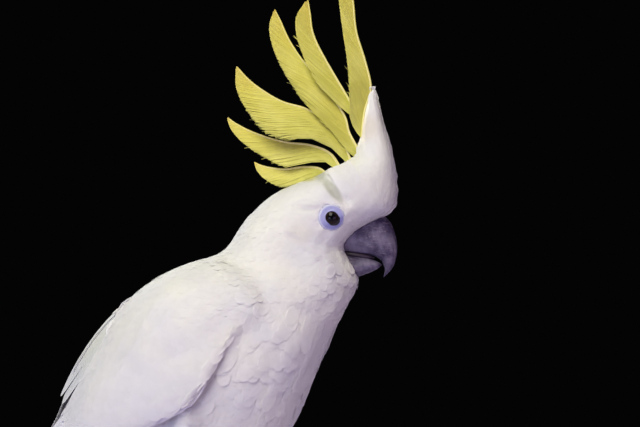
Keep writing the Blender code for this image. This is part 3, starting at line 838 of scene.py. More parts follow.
# centre (x, z), long and short radius in millimetres, turn in degrees, softness of the rim,
# strength, colour
PLUMAGE_TINTS_AND_SHADE = [
    (112, 222, 12, 10, 0, 0.7, 0.25, PALE_YELLOW),
    # painted shade in the groove in front of the crown, tinted green where the yellow feet of the
    # crest show
    (133, 250.5, 12, 4.4, -51, 0.5, 0.85, GROOVE_SHADE_AND_GREEN),
    (124.4, 262.5, 8, 5, -78, 0.5, 0.85, GROOVE_SHADE_AND_GREEN),
    (112, 260.5, 13, 5, -10, 0.5, 1.0, CREST_FOOT),
    # painted shade: greyish violet laid in the hollow behind the eye and in small hollows below it
    (118, 239, 10, 3, 4, 0.7, 0.45, PAINTED_FOLD_SHADE),
    (107, 221, 7, 2.5, -25, 0.7, 0.3, PAINTED_FOLD_SHADE),
    (132, 198, 5, 3.5, 60, 0.7, 0.45, PAINTED_FOLD_SHADE),
    (124, 206, 4, 2.5, 30, 0.7, 0.35, PAINTED_FOLD_SHADE),
    (152, 292, 17, 14, 0, 0.8, 0.5, WARM_SHADE),
    # painted shade: a cool lavender darkening over the lower body, the wings and the tail, where
    # less light falls
    (-20, 55, 150, 112, 0, 0.8, 0.55, LOW_PAINTED_SHADE),
]


def tinted_and_shaded(finish, colour):
    """Lays the tints of the plumage and its painted shade over a colour."""
    for x, z, long, short, turn, soft, strength, tint in PLUMAGE_TINTS_AND_SHADE:
        mask = finish.oval(x, z, long, short, turn, soft)
        colour = finish.blend(mask * strength, colour, tint)
    return colour


def plumage(name, warm, cool):
    """White plumage with slanting barbs."""
    finish = Finish(name, Roughness=0.62, Subsurface_Weight=0.25, Subsurface_Scale=0.004,
                    Sheen_Weight=0.15, Specular_IOR_Level=0.25)
    finish.shader.inputs["Subsurface Radius"].default_value = (1.0, 0.9, 0.8)
    across, along = finish.vane()
    slant = along * 10.0 - across.size() * 9.0
    wobble = finish.noise(700.0, 2.0)
    barb = (slant * 9.0 + wobble * 6.0).sine()
    patchy = finish.noise(26.0, 4.0)
    colour = finish.blend(finish.step(patchy, 0.35, 0.65), warm, cool)
    # the root of each vane is greyer: down, and painted shade under the feathers that cover it
    colour = finish.blend(finish.step(along, 0.25, 0.0) * 0.5, colour, DOWN_GREY_AND_SHADE)
    colour = tinted_and_shaded(finish, colour)
    colour = finish.shaded(colour, 0.975 + finish.mark("tone") * 0.035 + barb * 0.008)
    return finish.show(Base_Color=colour, Normal=finish.bump(barb, 0.3, 0.05),
                       Roughness=0.58 + patchy * 0.14)


white = plumage("white_plumage_finish", IVORY, COOL_WHITE)
# the quills of the wings and the tail are a greyer white: painted shade that darkens them against
# the body
quill_shaded_white = plumage("quill_shaded_finish", (0.79, 0.785, 0.76), (0.73, 0.73, 0.77))
shaded_white = plumage("shaded_plumage_finish", (0.66, 0.68, 0.61), (0.62, 0.65, 0.64))
print("white finishes: 3, with", len(PLUMAGE_TINTS_AND_SHADE), "marks")

# %% [markdown]
# ## The coat of the head, neck and body
#
# The coat is grown tract by tract.  Spacing, length and width all grow with the distance from
# the bill: the feathers round the face are four millimetres long, those of the breast seventeen.
# Beside the eye the lie is parted, so that no feather crosses its bare ring, and a slow noise
# lifts some stretches a little, because live plumage is never quite even.

# %% Size of a feather by its place
def grade(value, low, high, start, end):
    """Runs from start to end as value goes from low to high, and stays level outside them."""
    share = np.clip((np.asarray(value, float) - low) / (high - low), 0.0, 1.0)
    return start + (end - start) * share


def from_face(places):
    """Distance in millimetres from the middle of the face, measured round the head."""
    return np.linalg.norm(places - np.array(FACE), axis=-1) / MM


EYES = {side: Vector((132.3, 26.3 * sign, 232.7)) * MM for side, sign in SIDES.items()}
EYE_RING = 8.0
EYE_MARGIN = 6.0


def parted(roots, lies):
    """Turns the feathers beside an eye, so that they run round its bare ring."""
    for eye in EYES.values():
        off = roots - np.array(eye)
        away = np.linalg.norm(off, axis=1)
        off /= away[:, None]
        inward = 0.3 - (lies * off).sum(axis=1)
        near = grade(away / MM, EYE_RING, EYE_RING + EYE_MARGIN, 1.0, 0.0)
        lies = lies + off * (np.maximum(inward, 0.0) * near)[:, None]
    return lies


SLOW_LUMPS = 70.0
QUICK_LUMPS = 170.0


def ruffled(places, height):
    """Soft swellings and hollows of the plumage, half a centimetre to two across."""
    waves = [noise.noise(place * SLOW_LUMPS) + 0.6 * noise.noise(place * QUICK_LUMPS)
             for place in map(Vector, places)]
    return height * np.maximum(np.array(waves) + 0.3, 0.0)


print("eyes at", [round(value / MM, 1) for value in EYES["left"]], "and mirrored")


# %% [markdown]
# One function grows any tract.  It throws the roots, combs and ruffles their lie, draws the
# sizes, walks the quills and joins the feathers.  A feather whose tip has turned far from its
# root's direction would be folded over an edge of the body, so it is left out.

# %% Grow one tract
STEADY = 0.55
ROOT_DEPTH = 0.1


def coat(name, faces, comb, spacing, length, width, rise, seed, hug=0.8, ruffle=0.12, swell=0.12,
         droop=1.0):
    """Grows one tract: the sizes are functions of the root's place."""
    dice = np.random.default_rng(seed)
    roots = thrown(faces, spacing, seed)
    for eye in EYES.values():
        roots = roots[np.linalg.norm(roots - np.array(eye), axis=1) > EYE_RING * MM]
    lies = parted(roots, combed(comb, roots))
    lies += dice.normal(0.0, ruffle, lies.shape)
    lengths = length(roots) * dice.uniform(0.9, 1.12, len(roots))
    widths = width(roots) * dice.uniform(0.92, 1.1, len(roots))
    rises = rise(roots) * dice.uniform(0.85, 1.1, len(roots))
    base = ruffled(roots, swell)
    quills = walked(roots, lies, lengths, widths, base - ROOT_DEPTH, base + rises, hug)
    quills[3][:] *= droop
    steady = (quills[1][:, 0] * quills[1][:, -1]).sum(axis=1) > STEADY
    quills = [part[steady] for part in quills]
    feathered(name, BODY_VANE, quills, widths[steady], lengths[steady], white, seed + 1)

# %% [markdown]
# ## The skin's own finish
#
# Under the plumage the skin carries pale down, in the same tints and painted shade as the
# feathers over it, so that it never shows as a speck of another colour.  Only the feet are
# bare.  Their skin is dark grey and beaded with small scales: a Voronoi pattern gives each
# scale its cell, with a pale, dusty line between.

# %% The skin's finish and the skin itself
FOOT_TOP = 34.0
FOOT_BACK = -12.0


def skin_cover():
    """Pale down with the plumage's tints and painted shade on the body, dark beaded scales on the
    feet.
    """
    finish = Finish("skin_cover", Roughness=0.6, Specular_IOR_Level=0.3)
    x, _, z = finish.split(finish.place())
    high = finish.step(z / MM, FOOT_TOP, FOOT_TOP - 2.0)
    foot = high * finish.step(x / MM, FOOT_BACK - 2.0, FOOT_BACK)
    down = tinted_and_shaded(finish, finish.blend(finish.noise(90.0), COOL_WHITE, IVORY))
    rim = finish.node("ShaderNodeTexVoronoi", {"feature": "DISTANCE_TO_EDGE"},
                      {"Vector": finish.place(), "Scale": 620.0})
    bead = finish.step(rim, 0.02, 0.22)
    dust = finish.noise(300.0, 4.0)
    scales = finish.blend(finish.step(dust, 0.35, 0.7), (0.045, 0.044, 0.050),
                          (0.095, 0.092, 0.100))
    scales = finish.blend(bead, (0.20, 0.19, 0.20), scales)
    normal = finish.bump(bead * foot + finish.noise(900.0, 2.0) * 0.15, 0.7, 0.25)
    return finish.show(Base_Color=finish.blend(foot, down, scales), Normal=normal,
                       Roughness=0.55 + dust * 0.15)


skin_piece = as_piece("skin", bare_skin, skin_cover())
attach(skin_piece, "root")
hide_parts(*PARTS, "tail")
print("skin:", len(skin_piece.data.polygons), "squares")

# %% [markdown]
# The head has the smallest feathers, and the most of them.  They are grown in two pieces, one
# round the face and one over the crown, and leave out the plume above the forehead.

# %% Face and head
def head_gap(place):
    return float(grade(from_face(np.array(place)), 18.0, 75.0, 1.25, 2.4))


def on_plume(at):
    """Whether a place is on the upswept white feathers in front of the crest."""
    return at.z > 266.0 and at.x > 143.0


FACE_REACH = 36.0
for name, seed in (("face_coat", 11), ("crown_coat", 13)):
    coat(name, faces_of(lambda part, at, out: part == "head" and not on_plume(at)
                        and (from_face(np.array(at) * MM) < FACE_REACH) == (name == "face_coat")),
         COMB, head_gap,
         lambda at: grade(from_face(at), 15.0, 75.0, 4.0, 11.0),
         lambda at: grade(from_face(at), 15.0, 75.0, 2.3, 5.2),
         lambda at: grade(from_face(at), 15.0, 60.0, 0.5, 0.8), seed, swell=0.06)

# %% [markdown]
# In front of the crest, narrow white feathers sweep up from the forehead and hide the feet of
# the yellow ones.  None grow at the back of that plume, where the crest stands.

# %% The upswept white feathers in front of the crest
def level(value):
    return lambda at: np.full(len(at), value)


PLUME_BACK = -0.35
coat("plume_coat", faces_of(lambda part, at, out: part == "head" and on_plume(at)
                            and out.x > PLUME_BACK), COMB,
     lambda at: 2.0, lambda at: grade(at[:, 2] / MM, 280.0, 312.0, 15.0, 9.0), level(4.4),
     level(0.7), 15, hug=0.7, ruffle=0.05, swell=0.05)

# %% [markdown]
# Down the neck the feathers grow longer.  The trunk's are nearly all of one size: those of the
# breast are loose and swell in soft lumps, those of the back lie smooth, and the long ones of
# the rump roof over the foot of the tail.  None grow close beside a wing, where they would
# stick out through its feathers.

# %% Neck, breast, back and rump
coat("neck_coat", faces_of(lambda part, at, out: part == "neck"), COMB, lambda at: 2.5,
     lambda at: grade(from_face(at), 60.0, 110.0, 11.0, 15.0),
     lambda at: grade(from_face(at), 60.0, 110.0, 5.4, 7.0), level(0.9), 21, swell=0.2)


wing_trees = {side: tree_of(["wing_" + side])[0] for side in SIDES}


def on_breast(at):
    """Whether a place on the trunk is in front of and below the line of the back."""
    return at.x * 0.8 - at.z > -95.0


def off_wings(at, gap):
    """Whether a place is at least a gap in millimetres away from both wings."""
    return all(tree.find_nearest(at * MM, gap * MM)[0] is None for tree in wing_trees.values())


for name, front, rise, swell, gap, seed in (("breast_coat", True, 1.3, 1.05, 1.8, 31),
                                            ("back_coat", False, 1.1, 0.15, 2.2, 33)):
    coat(name, faces_of(lambda part, at, out: part == "trunk" and at.x > -40.0
                        and on_breast(at) == front and off_wings(at, gap)), COMB,
         lambda at: 3.1, level(17.0), level(8.6), level(rise), seed, ruffle=0.19, swell=swell)
coat("rump_coat", faces_of(lambda part, at, out: part == "trunk" and -84.0 < at.x <= -40.0
                           and off_wings(at, 6.0)), COMB,
     lambda at: 3.6, level(24.0), level(11.0), level(1.4), 35, hug=0.7, ruffle=0.05)

# %% [markdown]
# The thighs have short, soft feathers.  The wing's own small feathers, the coverts, cover it
# from the shoulder to about half way down, where the larger coverts and the quills come out
# from under them.  They stay on its outer side.  The left wing's ridge is left to the shoulder
# feathers, except near its front.

# %% Thighs and the small coverts of each wing
SMALL_COVERTS_END = 56.0
OUTER_SIDE = 0.72
RIDGE_SIDE = {"right": 0.0, "left": 0.45}
COAT_FRONT = 14.0


def down_wing(at):
    """How far a place is up and forward from the line of the tail end, in millimetres."""
    return at @ np.array([0.72, 0.0, 0.69]) / MM


for side, sign in SIDES.items():
    coat("thigh_coat_" + side, faces_of(lambda part, at, out: part == "thigh_" + side), COMB,
         lambda at: 2.3, level(10.0), level(5.2), level(1.0), 41, swell=0.25)
    coat("wing_coat_" + side,
         faces_of(lambda part, at, out: part == "wing_" + side and at.y * sign > 0.0
                  and down_wing(np.array(at) * MM) > SMALL_COVERTS_END
                  and (at.x > COAT_FRONT or out.y * sign > RIDGE_SIDE[side])
                  and out.dot(toward_axis(at * MM)) < -OUTER_SIDE), WING_COMB,
         lambda at: 3.0, lambda at: grade(down_wing(at), 170.0, 90.0, 12.0, 19.0),
         lambda at: grade(down_wing(at), 170.0, 100.0, 7.0, 9.0), level(0.7), 51, ruffle=0.05,
         swell=0.06)

# %% [markdown]
# Under the bill the feathers are loose.  A sparse second coat of slightly lifted feathers is
# laid over the first there, for the small tufts that a throat shows.

# %% Loose feathers of the throat
coat("throat_tufts", faces_of(lambda part, at, out: part in ("head", "neck") and at.x > 124.0
                              and 182.0 < at.z < 206.0),
     COMB, lambda at: 4.4, level(12.0), level(7.4), level(1.1), 61, hug=0.8, ruffle=0.16,
     swell=0.4, droop=0.4)

# %% [markdown]
# Behind the forehead, a lobe of longer white feathers leans back against the foot of the crest
# on each side, and its lower edge overhangs the groove in front of the crown.  These feathers
# run side by side, and all of them end at one line across the foot of the crest.

# %% The lobes beside the foot of the crest
LOBE_WAY = [((141, 12, 248), (-0.47, 0.0, 0.88)), ((136, 12, 258), (-0.50, 0.0, 0.87)),
            ((150, 12, 252), (-0.34, 0.0, 0.94)), ((150, 12, 266), (-0.22, 0.0, 0.97))]
LOBE_FOOT = Vector((143.2, 0.0, 245.5))
LOBE_RUN = Vector((-0.49, 0.0, 0.872))
LOBE_FRONT = Vector((0.872, 0.0, 0.49))


def on_lobe(at):
    """Whether a place is in the band of skin that the lobes grow from."""
    along = (at - LOBE_FOOT).dot(LOBE_RUN)
    across = (at - LOBE_FOOT).dot(LOBE_FRONT)
    return -2.0 < along < 17.0 and 0.0 < across < 10.0 and abs(at.y) > 5.0


def to_lobe_end(at):
    """How far it is from each root to the line where the lobe ends."""
    end = 267.5 + 0.16 * (at[:, 0] / MM - 129.0)
    return np.clip((end - at[:, 2] / MM) / 0.86, 7.0, 24.0)


coat("crown_lobes", faces_of(lambda part, at, out: part == "head" and on_lobe(at)), LOBE_WAY,
     lambda at: 1.9, to_lobe_end, level(5.6), level(1.7), 17, hug=0.55, ruffle=0.02, swell=0.0,
     droop=0.25)

# %% [markdown]
# ## The quills of the wings
#
# A folded wing is a fan that has been shut.  Seen from outside, the innermost quills lie on
# top along its upper edge, and each next one shows only a strip below the one before, down to
# the long outer quills that run out past the body to the wing's tip.  Shorter rows, the
# coverts, roof over their bases.  The feathers could be walked over the skin too, but these are
# stiff and reach beyond it.  So each has a lane: a place along the wing and a place across it,
# from the top edge round to the lower one, for its root and for its tip.  The line between them
# is laid on the outside of the wing's form.

# %% The wing as lanes
WING_TOP = [(63, 205), (40, 205), (15, 194), (-7, 177), (-19, 154), (-34, 127), (-51.5, 95.5),
            (-66.5, 75), (-88, 57.5), (-118, 43), (-150, 27.5)]
WING_LOW = [(87, 182), (84, 171.5), (69, 157.5), (56, 136), (42, 114.5), (12, 98.5), (-15, 79),
            (-40, 61.5), (-68, 46), (-104, 34), (-146, 23.5)]
WING_TOP_ANGLE = math.radians(11.5)
WING_ROUND = math.radians(78.5)
# the way round a wing's outside, for each unit of its height
WING_GIRTH = 1.3
# distances from the lower edge, in metres: where a ray starts, and where a miss looks from
RAY_START = 0.2
MISS_START = 0.03


def wing_spot(side, along, across):
    """The place and the outward direction at (along, across) on the outside of a wing."""
    low_x, low_z = smooth_curve(WING_LOW, [along])[0]
    top_x, top_z = smooth_curve(WING_TOP, [along])[0]
    centre = Vector((low_x, 0.0, low_z)) * MM
    upward = Vector((top_x - low_x, 0.0, top_z - low_z)).normalized()
    angle = WING_TOP_ANGLE + WING_ROUND * across
    way = upward * math.cos(angle) + Vector((0.0, SIDES[side] * math.sin(angle), 0.0))
    spot, out, _, _ = wing_trees[side].ray_cast(centre + way * RAY_START, -way)
    if spot is None:
        spot, out, _, _ = wing_trees[side].find_nearest(centre + way * MISS_START)
    return spot, out


def evened_line(line, rounds):
    """A row of points, each but the ends averaged with its neighbours a few times."""
    for _ in range(rounds):
        line[1:-1] = (line[:-2] + 2.0 * line[1:-1] + line[2:]) / 4.0
    return line


print("points along the edges of a wing:", len(WING_TOP), "and", len(WING_LOW))

# %% [markdown]
# A lane keeps half a feather's width away from both edges of the wing, or the feather would
# stick out over them.  On the thin end of the wing the form has hardly an outside, so there the
# outward direction fades into a fixed one, up and out, and the long quills lie flat on each
# other.

# %% The lane of one quill
QUILL_STEPS = 8
EDGE_SHARE = 0.42
THIN_END = (0.55, 0.85)
THIN_OUT = (0.25, 0.62, 0.74)


def wing_lane(side, start, end, width):
    """Points from one (along, across) place of a wing to another, with outward directions."""
    line = []
    for share in np.linspace(0.0, 1.0, QUILL_STEPS + 1):
        along = start[0] + (end[0] - start[0]) * share
        across = start[1] + (end[1] - start[1]) * share ** 0.8
        low, top = (smooth_curve(edge, [along])[0] for edge in (WING_LOW, WING_TOP))
        girth = WING_GIRTH * float(np.linalg.norm(top - low))
        margin = min(0.5, EDGE_SHARE * width / girth)
        line.append(wing_spot(side, along, margin + (1.0 - 2.0 * margin) * across))
    spots, outs = as_columns(line)
    spots, outs = evened_line(spots, 1), evened_line(outs, 3)
    shares = np.linspace(start[0], end[0], QUILL_STEPS + 1)
    thin = grade(shares, *THIN_END, 0.0, 1.0)[:, None]
    fixed = np.array([THIN_OUT[0], THIN_OUT[1] * SIDES[side], THIN_OUT[2]])
    return spots, unit(outs * (1.0 - thin) + fixed * thin)


def runs_along(spots):
    """The direction of a line of points at each of them."""
    return unit(np.gradient(spots, axis=0))


def length_of(spots):
    """The length of a line of points, in millimetres."""
    return np.linalg.norm(np.diff(spots, axis=0), axis=1).sum() / MM


def leaned(outs, sides, lean):
    """Outward and side directions, both turned about the quill by a small angle."""
    return (outs * math.cos(lean) - sides * math.sin(lean),
            sides * math.cos(lean) + outs * math.sin(lean))


print("a lane down the middle:",
      round(float(length_of(wing_lane("right", (0.4, 0.5), (0.8, 0.5), 12.0)[0]))), "mm")

# %% [markdown]
# Each row of quills is drawn between two lanes, its uppermost and its lowest.  The table gives
# those, and the rest of the feathers are spread between them.  Every feather leans a little, so
# that its lower edge lies on the next, and its tip is tucked down.

# %% Rows of quills and coverts
# name: number of feathers, root (along, across) of the uppermost and of the lowest, the same
# for their tips, width, depth of root and tip under the form, tilt in degrees
WING_ROWS = {
    "outer quills": (10, (0.42, 0.45), (0.42, 1.0), (0.82, 0.2), (1.0, 0.5), 11.0, 2.6, 1.5, 1.6),
    "inner quills": (13, (0.38, 0.0), (0.40, 1.0), (0.80, 0.0), (0.76, 1.0), 16.0, 2.3, 1.1, 1.8),
    "great coverts": (14, (0.30, 0.0), (0.32, 1.0), (0.60, 0.0), (0.63, 1.0), 14.0, 3.0, 0.8, 2.2),
    "middle coverts": (17, (0.27, 0.0), (0.28, 1.0), (0.53, 0.0), (0.56, 1.0), 12.0, 3.0, 0.5, 2.0),
}
QUILL_VANE = vane_pattern((0.42, 0.70, 0.88, 0.96, 1.0, 1.0, 1.0, 0.96, 0.84, 0.50), rows=12,
                          columns=6, thick=0.3, quill=0.2, tip=0.06, taper=0.7, crowd=1.3)
TIP_TUCK = 0.35
TIP_SCATTER = 0.006
EDGE_FALL = 0.05


def quill_rows(side, name, seed):
    """The quill lines, widths and lengths of one row of a wing."""
    (count, root_top, root_low, tip_top, tip_low, width, root_depth, tip_depth,
     tilt) = WING_ROWS[name]
    dice = np.random.default_rng(seed)
    rows = []
    for i in range(count):
        share = i / (count - 1)
        start = [root_top[k] + (root_low[k] - root_top[k]) * share for k in (0, 1)]
        end = [tip_top[k] + (tip_low[k] - tip_top[k]) * share for k in (0, 1)]
        end[0] += dice.uniform(-TIP_SCATTER, TIP_SCATTER)
        spots, outs = wing_lane(side, start, end, width)
        sides = np.cross(runs_along(spots), outs) * -SIDES[side]
        lean = math.radians(tilt + dice.uniform(-0.5, 0.5))
        left = np.linspace(1.0, 0.0, QUILL_STEPS + 1) ** 0.6
        depth = tip_depth + (root_depth - tip_depth) * left + dice.uniform(-0.05, 0.05)
        depth[-1] += TIP_TUCK
        rows.append((spots - outs * depth[:, None] * MM, *leaned(outs, sides, lean),
                     np.full(QUILL_STEPS + 1, EDGE_FALL * width), length_of(spots)))
    *quills, lengths = as_columns(rows)
    return quills, width * dice.uniform(0.95, 1.05, count), lengths


for side in SIDES:
    for number, name in enumerate(WING_ROWS):
        quills, widths, lengths = quill_rows(side, name, 61 + number)
        feathered(name.replace(" ", "_") + "_" + side, QUILL_VANE, quills, widths, lengths,
                  quill_shaded_white, 71 + number)

# %% [markdown]
# On the bird's left, the feathers of the shoulder are carried higher than on its right, so
# that a strip of them shows over the back of the near wing.  They bridge the gap between the
# two wings: the first lies deep in the middle of the back, and each next one lies nearer to the
# ridge of the left wing and a little higher, up to the last, which covers the ridge itself.

# %% The shoulder feathers that bridge the back
# start and end along the wing, distance in from the ridge, width, depth
BRIDGE_FEATHERS = [(0.30, 0.62, 22.0, 12.0, 3.2), (0.27, 0.60, 17.5, 12.0, 2.4),
                   (0.24, 0.57, 12.5, 12.0, 1.6), (0.12, 0.56, 5.5, 17.0, -0.9),
                   (0.10, 0.55, 1.5, 12.0, -1.5)]
RIDGE = 0.03
ROOT_TUCK = 3.2
BRIDGE_FALL = 0.06
BRIDGE_SLOPE = np.array((0.41, -0.87, -0.27))


def bridge_lines():
    """The quill lines, widths and lengths of the shoulder feathers."""
    rows = []
    for start, end, inward, width, depth in BRIDGE_FEATHERS:
        shares = np.linspace(start, end, QUILL_STEPS + 1)
        ridge = evened_line(np.array([wing_spot("left", share, RIDGE)[0] for share in shares]), 6)
        runs = runs_along(ridge)
        slope = unit(BRIDGE_SLOPE[None] - runs * (runs @ BRIDGE_SLOPE)[:, None])
        outs = np.cross(runs, slope)
        spread = np.linspace(0.6, 1.0, QUILL_STEPS + 1)[:, None]
        sunk = depth + ROOT_TUCK * np.linspace(1.0, 0.0, QUILL_STEPS + 1)[:, None] ** 3
        rows.append((ridge + slope * inward * spread * MM - outs * sunk * MM, outs, slope,
                     np.full(QUILL_STEPS + 1, BRIDGE_FALL * width), width, length_of(ridge)))
    return as_columns(rows)


*quills, widths, lengths = bridge_lines()
feathered("shoulder_feathers_left", QUILL_VANE, quills, widths, lengths, shaded_white, 79)

# %% [markdown]
# ## The tail
#
# Twelve quills make the tail.  The middle pair lies on top and each next one outward lies a
# little lower, so that the tail is a shallow roof.  They start together under the rump feathers
# and open to the tail's full width, and their square, rounded ends rest on the floor.

# %% Twelve tail quills
TAIL_MIDDLE = [(-46, 52, 13), (-80, 40, 19), (-112, 27.4, 22), (-142, 14, 24.5), (-165, 3, 25),
               (-175, 0.9, 24)]
TAIL_QUILLS = 12
TAIL_QUILL_WIDTH = 13.5
TAIL_LEAN = math.radians(3.0)
# how much shorter the outermost quill is; depth of the middle pair under the form, how much
# lower the outermost lies, and the least height over the floor, in millimetres
TAIL_ROUNDING = 0.035
TAIL_DEPTH = 0.3
TAIL_ROOF = 1.3
TAIL_FLOOR = 0.35
tail_tree = tree_of(["tail"])[0]
TAIL_VANE = vane_pattern((0.40, 0.62, 0.76, 0.86, 0.94, 1.0, 1.0, 0.98, 0.88, 0.50), rows=14,
                         columns=4, thick=0.32, quill=0.3, tip=0.03, taper=0.6)


def tail_quills():
    """The lines of the tail quills, spread over the tail's form."""
    rows = []
    for i in range(TAIL_QUILLS):
        lane = 2.0 * i / (TAIL_QUILLS - 1) - 1.0
        reach = 1.0 - TAIL_ROUNDING * lane ** 2
        middle = smooth_curve(TAIL_MIDDLE, np.linspace(0.0, reach, QUILL_STEPS + 1))
        places = np.stack([middle[:, 0], middle[:, 2] * lane, middle[:, 1]], axis=1) * MM
        spots = np.array([tail_tree.ray_cast(Vector(place) + Vector((0.0, 0.0, 0.3)),
                                             Vector((0.0, 0.0, -1.0)))[0] or place
                          for place in places])
        spots[:, 2] = np.maximum(spots[:, 2] - (TAIL_DEPTH + TAIL_ROOF * abs(lane)) * MM,
                                 TAIL_FLOOR * MM)
        runs = runs_along(spots)
        sides = np.cross(runs, np.array([0.0, 0.0, 1.0]))
        lean = -TAIL_LEAN if lane > 0.0 else TAIL_LEAN
        rows.append((spots, *leaned(np.cross(sides, runs), sides, lean),
                     np.zeros(QUILL_STEPS + 1), length_of(spots)))
    return as_columns(rows)


*quills, lengths = tail_quills()
tail_piece = feathered("tail_quills", TAIL_VANE, quills, np.full(TAIL_QUILLS, TAIL_QUILL_WIDTH),
                       lengths, quill_shaded_white, 81)
for vert in tail_piece.data.vertices:
    vert.co.z = max(vert.co.z, 0.0)

# %% [markdown]
# ## The crest
#
# Six long narrow feathers stand up from the crown and curve back, each folded along its quill
# like a half-open book, with a clean front edge and a looser rear one.  The camera sees them
# large against the dark, so one thin vane won't do: the rear edge of a real one is ragged with
# the ends of its barbs.  So each web is built of barbs, or rather of small sheaves of them,
# that leave the quill slanting towards the tip and overlap.  Each has its own length, and near
# the crown some run short or stray.

# %% The lines of the crest quills
# points (x, z) up each quill, with the width of the web behind it, in millimetres, then the
# sideways lean of the feather in degrees
CREST = {
    1: ([(152.6, 285.5, 1.5), (152.9, 294, 8), (154.6, 305, 12), (158.3, 318.2, 15.4),
         (154.2, 336.6, 12.4), (148.4, 355.7, 9.2), (146.2, 376.2, 9.6), (142.6, 391, 8),
         (139.4, 397.4, 1)], 0.5),
    2: ([(149.2, 298, 2.5), (146, 306.5, 7), (136.6, 322.4, 13), (128.7, 336, 13.5),
         (122.6, 347.5, 12), (119.2, 357, 11.2), (118, 367, 9.4), (116.6, 375.4, 2)], 1.0),
    3: ([(152.6, 270, 6), (149, 279, 7), (143.8, 289, 10), (140.4, 300.6, 16),
         (125.5, 323.2, 19), (112.9, 336.6, 15.5), (103.8, 350.5, 12.4), (98.4, 362.6, 8.4),
         (95, 369.4, 1.5)], 1.8),
    4: ([(146.4, 266, 14), (140.6, 281, 19), (131, 294.6, 24.5), (116.2, 304, 26),
         (100, 308.8, 24.5), (87, 316.2, 18.2), (77.6, 323.4, 11.5), (70.2, 331.4, 1.5)], -1.2),
    5: ([(139.8, 262, 9), (132, 274.4, 15), (119, 280.2, 16.6), (104, 282, 16.8),
         (91, 285, 13.5), (79, 289.4, 10), (70, 294, 6), (64.2, 298, 1.2)], 1.0),
    6: ([(131.6, 258, 5), (125, 264.6, 8.5), (114.5, 266, 11.5), (102, 264.4, 12.4),
         (92.4, 265.2, 9.6), (86, 266.8, 5.5), (82, 268.6, 1)], -1.0),
}
WEB_SPREAD = math.radians(21.0)
BARB_GAP = 0.6
BARB_STEPS = 4
BARB_TILT = math.radians(5.0)
BARB_WIDTH = 2.0
STRAY_WIDTH = 0.7
WIDEST_WEB = 32.0
BARB = vane_pattern((0.9, 1.0, 1.0, 0.85, 0.5, 0.12), rows=4, columns=1, thick=0.16, quill=0.0,
                    tip=0.0)


def quill_line(rows, lean, shares):
    """Places on a crest quill, its run, its rearward direction and the web's width."""
    line = smooth_curve(rows, shares)
    ahead = smooth_curve(rows, np.minimum(shares + 0.004, 1.0))
    behind = smooth_curve(rows, np.maximum(shares - 0.004, 0.0))
    run = (ahead - behind)[:, :2]
    run /= np.linalg.norm(run, axis=1, keepdims=True)
    aside = math.tan(math.radians(lean)) * np.hypot(line[:, 0] - rows[0][0],
                                                    line[:, 1] - rows[0][1])
    places = np.stack([line[:, 0], aside, line[:, 1]], axis=1) * MM
    zero = np.zeros(len(line))
    runs = np.stack([run[:, 0], zero, run[:, 1]], axis=1)
    rear = np.stack([-run[:, 1], zero, run[:, 0]], axis=1)
    return places, runs, rear, line[:, 2]


print("crest feathers up to", max(row[1] for rows, _ in CREST.values() for row in rows), "mm high")

# %% [markdown]
# Each sheaf of barbs starts at the quill and runs on until it has used up the room that the
# outline of the feather leaves it.  The two webs open a little from each other, as a book does.
# Every fortieth sheaf or so near the crown strays out of its row.

# %% Barbs along both webs of a feather
# how far a sheaf runs along the quill for each millimetre away from it: at the foot of the
# feather, and how much less at its tip
BARB_SLOPE = (2.1, 0.5)
LEAST_BARB = 0.6
BARB_LIFT = 0.10
STRAYS = 0.025
STRAY_REACH = 2.2


def web_barbs(rows, lean, dice):
    """The lines of the sheaves of barbs on both webs of one crest feather."""
    length = np.hypot(*np.diff(smooth_curve(rows, np.linspace(0, 1, 60))[:, :2], axis=0).T).sum()
    reach = np.linspace(0.0, WIDEST_WEB, 641)
    rows_of_barbs = []
    for root in np.arange(0.0, 1.0, BARB_GAP / length):
        for side in (-1.0, 1.0):
            slope = BARB_SLOPE[0] - BARB_SLOPE[1] * root + dice.normal(0.0, 0.03)
            loose = float(grade(root, 0.03, 0.5, 1.0, 0.15))
            share = root + reach * slope / length
            room = smooth_curve(rows, share)[:, 2] * (share <= 1.0) - reach
            end = reach[np.argmax(room < 0.0)] if (room < 0.0).any() else reach[-1]
            stray = dice.random() < STRAYS * loose
            end = max(end * (1.0 + dice.normal(0.0, 0.004 + 0.02 * loose)) + STRAY_REACH * stray,
                      LEAST_BARB)
            steps = np.linspace(0.0, end, BARB_STEPS + 1)
            shares = np.clip(root + steps * slope / length, 0.0, 1.0)
            places, runs, rear, _ = quill_line(rows, lean, shares)
            spread = WEB_SPREAD * (1.0 + dice.normal(0.0, 0.04))
            sweep = rear * math.cos(spread)
            sweep[:, 1] += side * math.sin(spread)
            out = np.cross(runs, sweep) * -side
            line = places + sweep * steps[:, None] * MM
            line -= runs * (stray * dice.uniform(0.1, 0.5) * steps ** 2 / end)[:, None] * MM
            barb_run = np.gradient(line, axis=0)
            barb_run /= np.linalg.norm(barb_run, axis=1, keepdims=True) + 1e-12
            rows_of_barbs.append((line + out * (BARB_LIFT * MM),
                                  *leaned(out, np.cross(barb_run, out), -BARB_TILT),
                                  np.zeros(BARB_STEPS + 1), STRAY_WIDTH if stray else BARB_WIDTH,
                                  end * math.sqrt(1.0 + slope * slope), root))
    return as_columns(rows_of_barbs)


print("one sheaf of barbs every", BARB_GAP, "mm, with", len(BARB[1]), "faces")

# %% [markdown]
# The yellow of the crest comes from a pigment that fills the barbs, so it is even and clear,
# a little greener where a web is thin and a little more golden at the tips, with fine streaks
# along the barbs.

